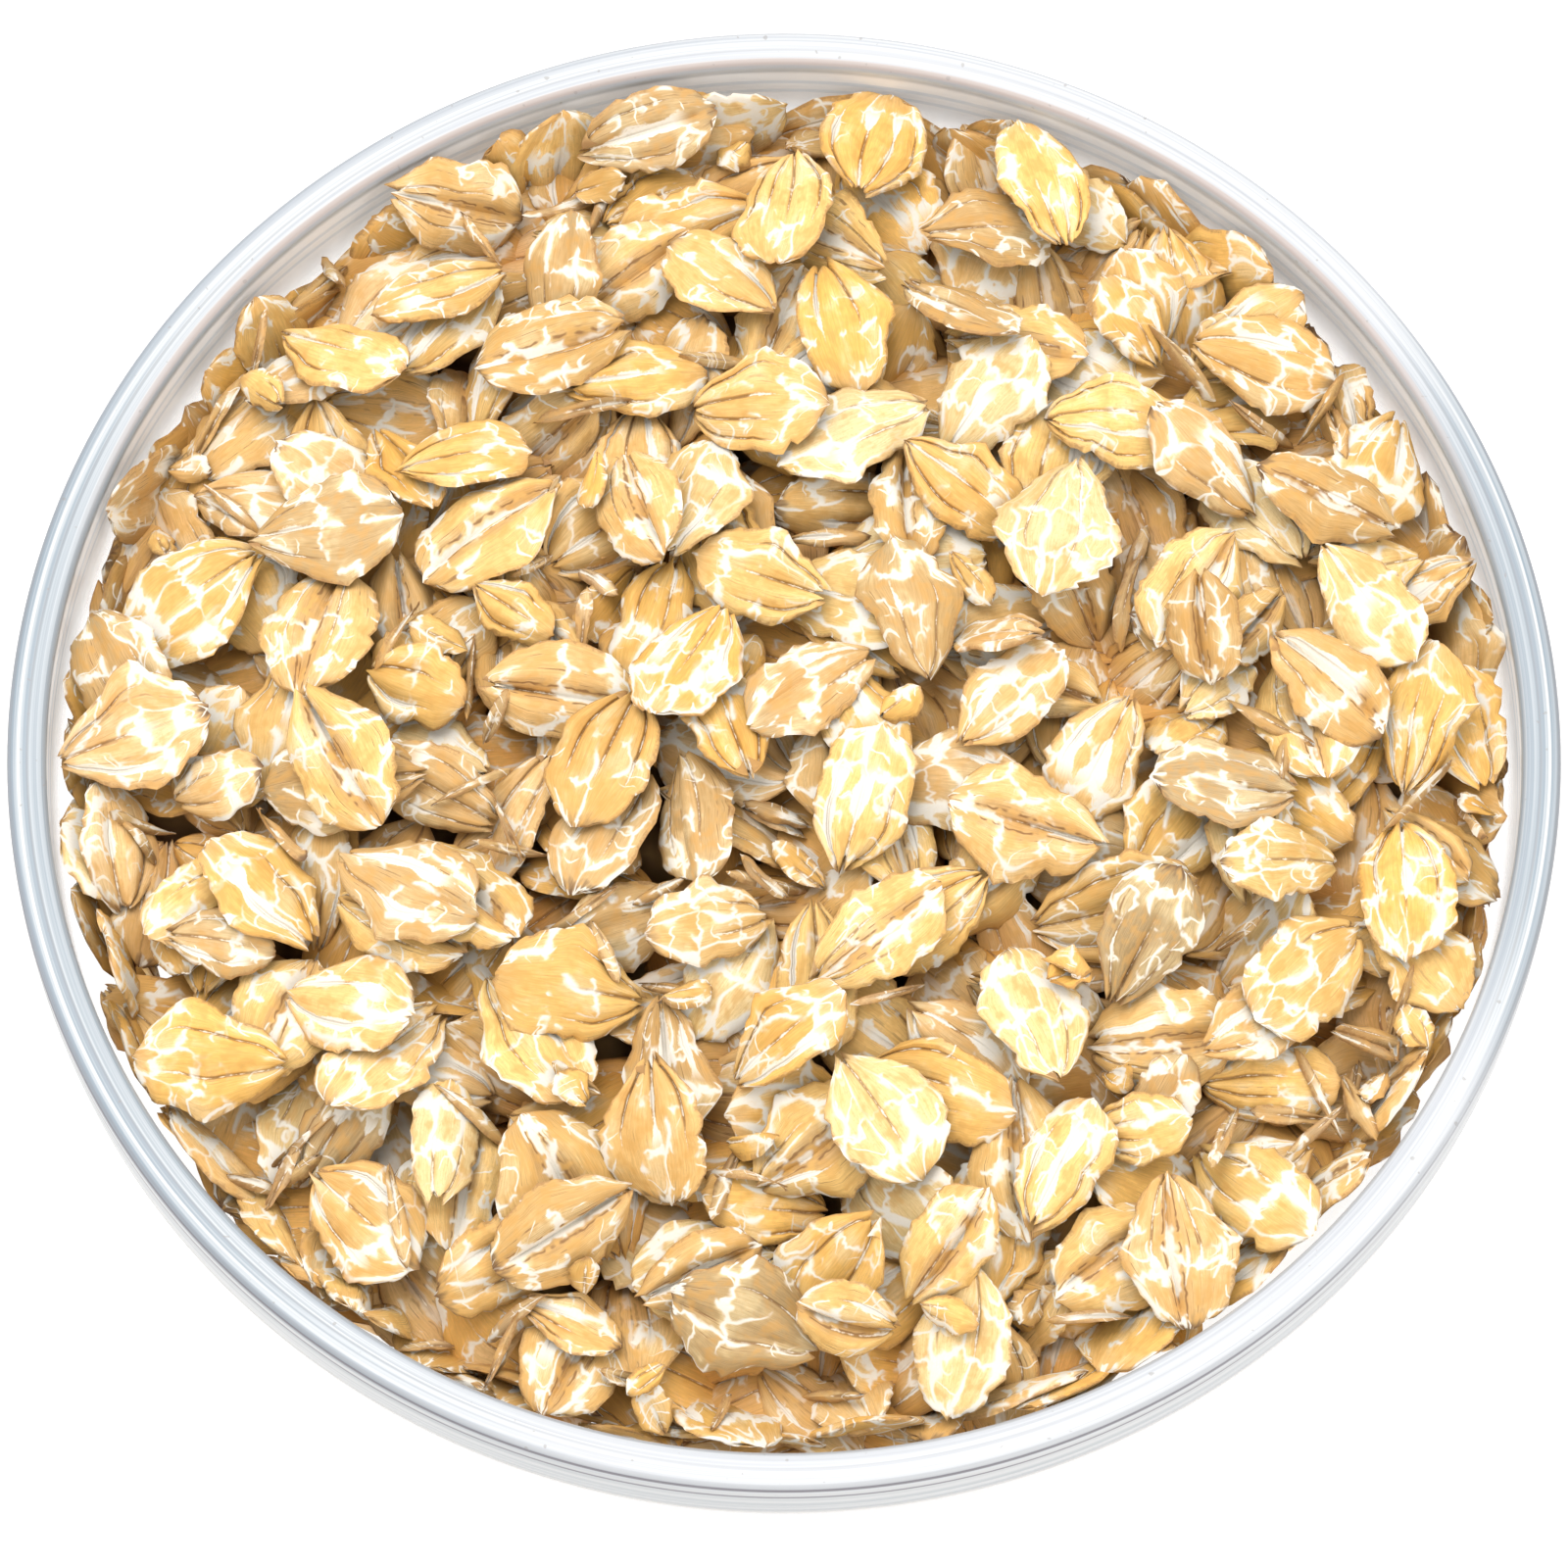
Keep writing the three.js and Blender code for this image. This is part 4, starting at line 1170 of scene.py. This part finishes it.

# %% [markdown]
# ## The clear plastic
#
# Clear plastic shows by what it bends and mirrors, and the thick rim shows most: on the left it
# is bluish grey with fine rings left by turning the mould, towards the front and the right it is
# almost white, and thin dark lines follow its edges. Lower down the wall is only a faint haze. So
# the finish mixes two things: a sheet that lets light through and mirrors a little, and a pale
# body whose share depends on the height and on the distance from the axis. The body's colour
# carries painted reflections and refractions: the bluish grey on the left, the dark and white
# lines along the rim, a warm line where the grains are mirrored at the back, blue lines inside
# and brown low on the outside where the grains show through. The rings are the mould's own marks.
# Light that falls on the grains goes straight through, as real clear plastic throws next to no
# shadow.

# %% Clear plastic
def plastic_finish():
    """The rings are a noise of the radius and the height that hardly changes round the bowl. The
    share of the body is its share outside or inside the wall, each a rise of the height."""
    f = Finish("clear_plastic")
    place = f.node("ShaderNodeTexCoord", None, None, output=3)
    x, y, z = (f.node("ShaderNodeSeparateXYZ", None, {0: place}, output=i) * 1000 for i in range(3))
    radius = (x * x + y * y) ** 0.5
    outside = radius.rise(RIM_RADIUS - RIM_WIDTH * 0.5, RIM_RADIUS - RIM_WIDTH * 0.4)
    on_top = z.rise(SIDE_TOP - 0.3, SIDE_TOP + 0.4)
    rings = f.noise(f.point(radius * 2.6 + z * 0.9, x * 0.012, y * 0.012), 1.0, 2, 0.7, flat=False)
    faint = f.noise(f.point(radius * 8 + z * 3, x * 0.02, y * 0.02), 1.0, 1, 0.6, flat=False)

    def line(value, at, half, core):
        """1 within core of the place where the value is at, and 0 past half."""
        return abs(value - at).rise(half, core)

    # Painted reflection: the rim is bluish grey on the left, where it mirrors a darker surround.
    left = (x * -1 + y * 0.2).rise(0, 40).most((x - abs(y - 8) * 0.5).rise(24, 38))
    left = left * (1 - y.rise(8, 40) * 0.75)
    rim_colour = f.mix(left, (0.56, 0.59, 0.64), (0.30, 0.36, 0.42))
    # Painted reflection: a bluer band along the rim's outer edge on the left.
    painted_outer_band = radius.rise(RIM_RADIUS - 1.25, RIM_RADIUS - 1.1) * left
    rim_colour = f.mix(painted_outer_band * 0.6, rim_colour, (0.26, 0.33, 0.40))
    ring_line = rings.rise(0.46, 0.6) * 0.6 + faint.rise(0.45, 0.65) * 0.4
    rim_colour = f.mix(ring_line * (0.75 - left * 0.25), rim_colour, (0.72, 0.75, 0.78))
    # Painted refraction: thin dark lines along the rim's outer edge, its middle and its inner edge.
    outline = line(radius, RIM_RADIUS - 0.12, 0.2, 0.06) * (0.25 + left * 0.5)
    outline = outline.most(line(radius, RIM_RADIUS - 1.25, 0.12, 0.03) * (0.12 + left * 0.45))
    outline = outline.most(line(radius, RIM_RADIUS - RIM_WIDTH + 0.15, 0.2, 0.06) * 0.45)
    rim_colour = f.mix(outline, rim_colour, (0.22, 0.24, 0.27))
    # Painted highlight: a thin white line inside the bluish band on the left.
    painted_highlight_line = line(radius, RIM_RADIUS - 0.7, 0.14, 0.04) * left
    rim_colour = f.mix(painted_highlight_line * 0.8, rim_colour, (0.78, 0.80, 0.82))
    # Painted reflection: a warm line at the back of the rim's inner edge, where the grains are
    # mirrored.
    painted_grain_reflection = line(radius, RIM_RADIUS - RIM_WIDTH + 0.35, 0.3, 0.12) * y.rise(10, 30)
    rim_colour = f.mix(painted_grain_reflection * 0.8, rim_colour, (0.46, 0.38, 0.35))
    dark = (rings.rise(0.46, 0.34) * 0.7 + faint.rise(0.44, 0.3) * 0.6) * (0.3 + left * 0.3)
    rim_colour = f.mix(dark, rim_colour, (0.30, 0.34, 0.40))
    # Painted refraction: dark lines along the rounded corners of the rim, strongest at the front.
    edge = line(z, SIDE_TOP + 0.5, 0.26, 0.12).most(line(z, SIDE_TOP - 0.75, 0.24, 0.1))
    edge = edge * radius.rise(RIM_RADIUS - 0.5, RIM_RADIUS - 0.3)
    near = (x * -0.35 - y).rise(5, 36)
    rim_colour = f.mix(edge * (0.4 + near * 0.5), rim_colour, (0.12, 0.11, 0.14))
    specks = f.noise(place, 2200, 0, flat=False).rise(0.8, 0.84)
    rim_colour = f.mix(specks * 0.5, rim_colour, (0.30, 0.28, 0.27))
    wall_colour = f.mix(rings.rise(0.35, 0.65), (0.36, 0.40, 0.44), (0.56, 0.58, 0.60))
    # Painted refraction: the outside of the wall goes brown low down, where the grains show through
    # it.
    wall_colour = f.mix(z.rise(31.5, 30) * 0.5, wall_colour, (0.42, 0.33, 0.24))
    inner_colour = f.mix(rings, (0.82, 0.80, 0.79), (0.92, 0.91, 0.91))
    # Painted reflection: two thin blue lines along the inside of the wall below the rim.
    painted_blue_reflections = line(z, 33.6, 0.35, 0.1) + line(z, 32.4, 0.3, 0.1)
    inner_colour = f.mix(painted_blue_reflections * 0.7, inner_colour, (0.45, 0.52, 0.62))
    side_colour = f.mix(outside, inner_colour, wall_colour)
    colour = f.mix(on_top.most(edge), side_colour, rim_colour)
    haze_out = z.rise(29.8, 31.2) * 0.82 + 0.04
    haze_in = z.rise(27, 33) * 0.76 + 0.02
    haze = haze_in + (haze_out - haze_in) * outside
    haze = haze + (0.95 - haze) * on_top.most(edge)
    f.set(Base_Color=colour, Roughness=0.3, Specular_IOR_Level=0.2, Coat_Weight=0.1,
          Coat_Roughness=0.05)
    through = f.node("ShaderNodeBsdfTransparent", None, {"Color": (0.985, 0.99, 0.995)})
    mirror = f.node("ShaderNodeBsdfAnisotropic", None, {"Color": (1, 1, 1), "Roughness": 0.05})
    sheet = f.node("ShaderNodeMixShader", None, {0: 0.05, 1: through, 2: mirror})
    body = Signal(f, f.shader.outputs[0])
    seen_as = f.node("ShaderNodeMixShader", None, {0: haze, 1: sheet, 2: body})
    shadow_ray = f.node("ShaderNodeLightPath", None, None, output=1)
    f.put(f.output.inputs["Surface"],
          f.node("ShaderNodeMixShader", None, {0: shadow_ray, 1: seen_as, 2: through}))
    return f.material


bowl.data.materials.append(plastic_finish())
print("the plastic has", len(bowl.active_material.node_tree.nodes), "nodes in its finish")

# %% [markdown]
# ## Floor and light
#
# The bowl stands on plain white, lit from all round and a little more from the upper left, so
# bright that the floor and the starch come out white and the shadows stay warm. Light that has
# been thrown on once adds most of the glow between the grains, so the rest is left out, which
# saves much of the time that a picture takes.

# %% Floor
floor_mesh = bpy.data.meshes.new("floor")
floor_mesh.from_pydata([(-3, -3, 0), (3, -3, 0), (3, 3, 0), (-3, 3, 0)], [], [(0, 1, 2, 3)])
floor = bpy.data.objects.new("floor", floor_mesh)
bpy.context.scene.collection.objects.link(floor)
paper = Finish("white_paper")
paper.set(Base_Color=(0.3, 0.3, 0.3), Roughness=0.8, Emission_Color=(1, 1, 1),
          Emission_Strength=0.85)
floor.data.materials.append(paper.material)

# %% Lamps and sky
LIT_SPOT = Vector((0, 0, 0.03))


def lamp(name, place, size, power):
    """A square area lamp that looks at the bowl."""
    light = bpy.data.lights.new(name, "AREA")
    light.size, light.energy = size, power
    made = bpy.data.objects.new(name, light)
    bpy.context.scene.collection.objects.link(made)
    made.location = place
    towards = LIT_SPOT - Vector(place)
    made.rotation_euler = towards.to_track_quat("-Z", "Y").to_euler()
    made.visible_camera = False
    print(f"{name}: {power} W")


lamp("overhead", (-0.25, 0.35, 1.2), 0.9, 10.2)
lamp("side_fill", (1.0, -0.5, 0.7), 0.7, 2.5)
world = bpy.data.worlds.new("studio")
bpy.context.scene.world = world
world.use_nodes = True
sky = world.node_tree.nodes["Background"]
sky.inputs["Color"].default_value = (1, 0.955, 0.90, 1)
sky.inputs["Strength"].default_value = 0.98
bpy.context.scene.view_settings.view_transform = "Standard"
light_paths = bpy.context.scene.cycles
light_paths.max_bounces = 3
light_paths.diffuse_bounces = 1
light_paths.glossy_bounces = 1
light_paths.transmission_bounces = 1
light_paths.use_light_tree = False
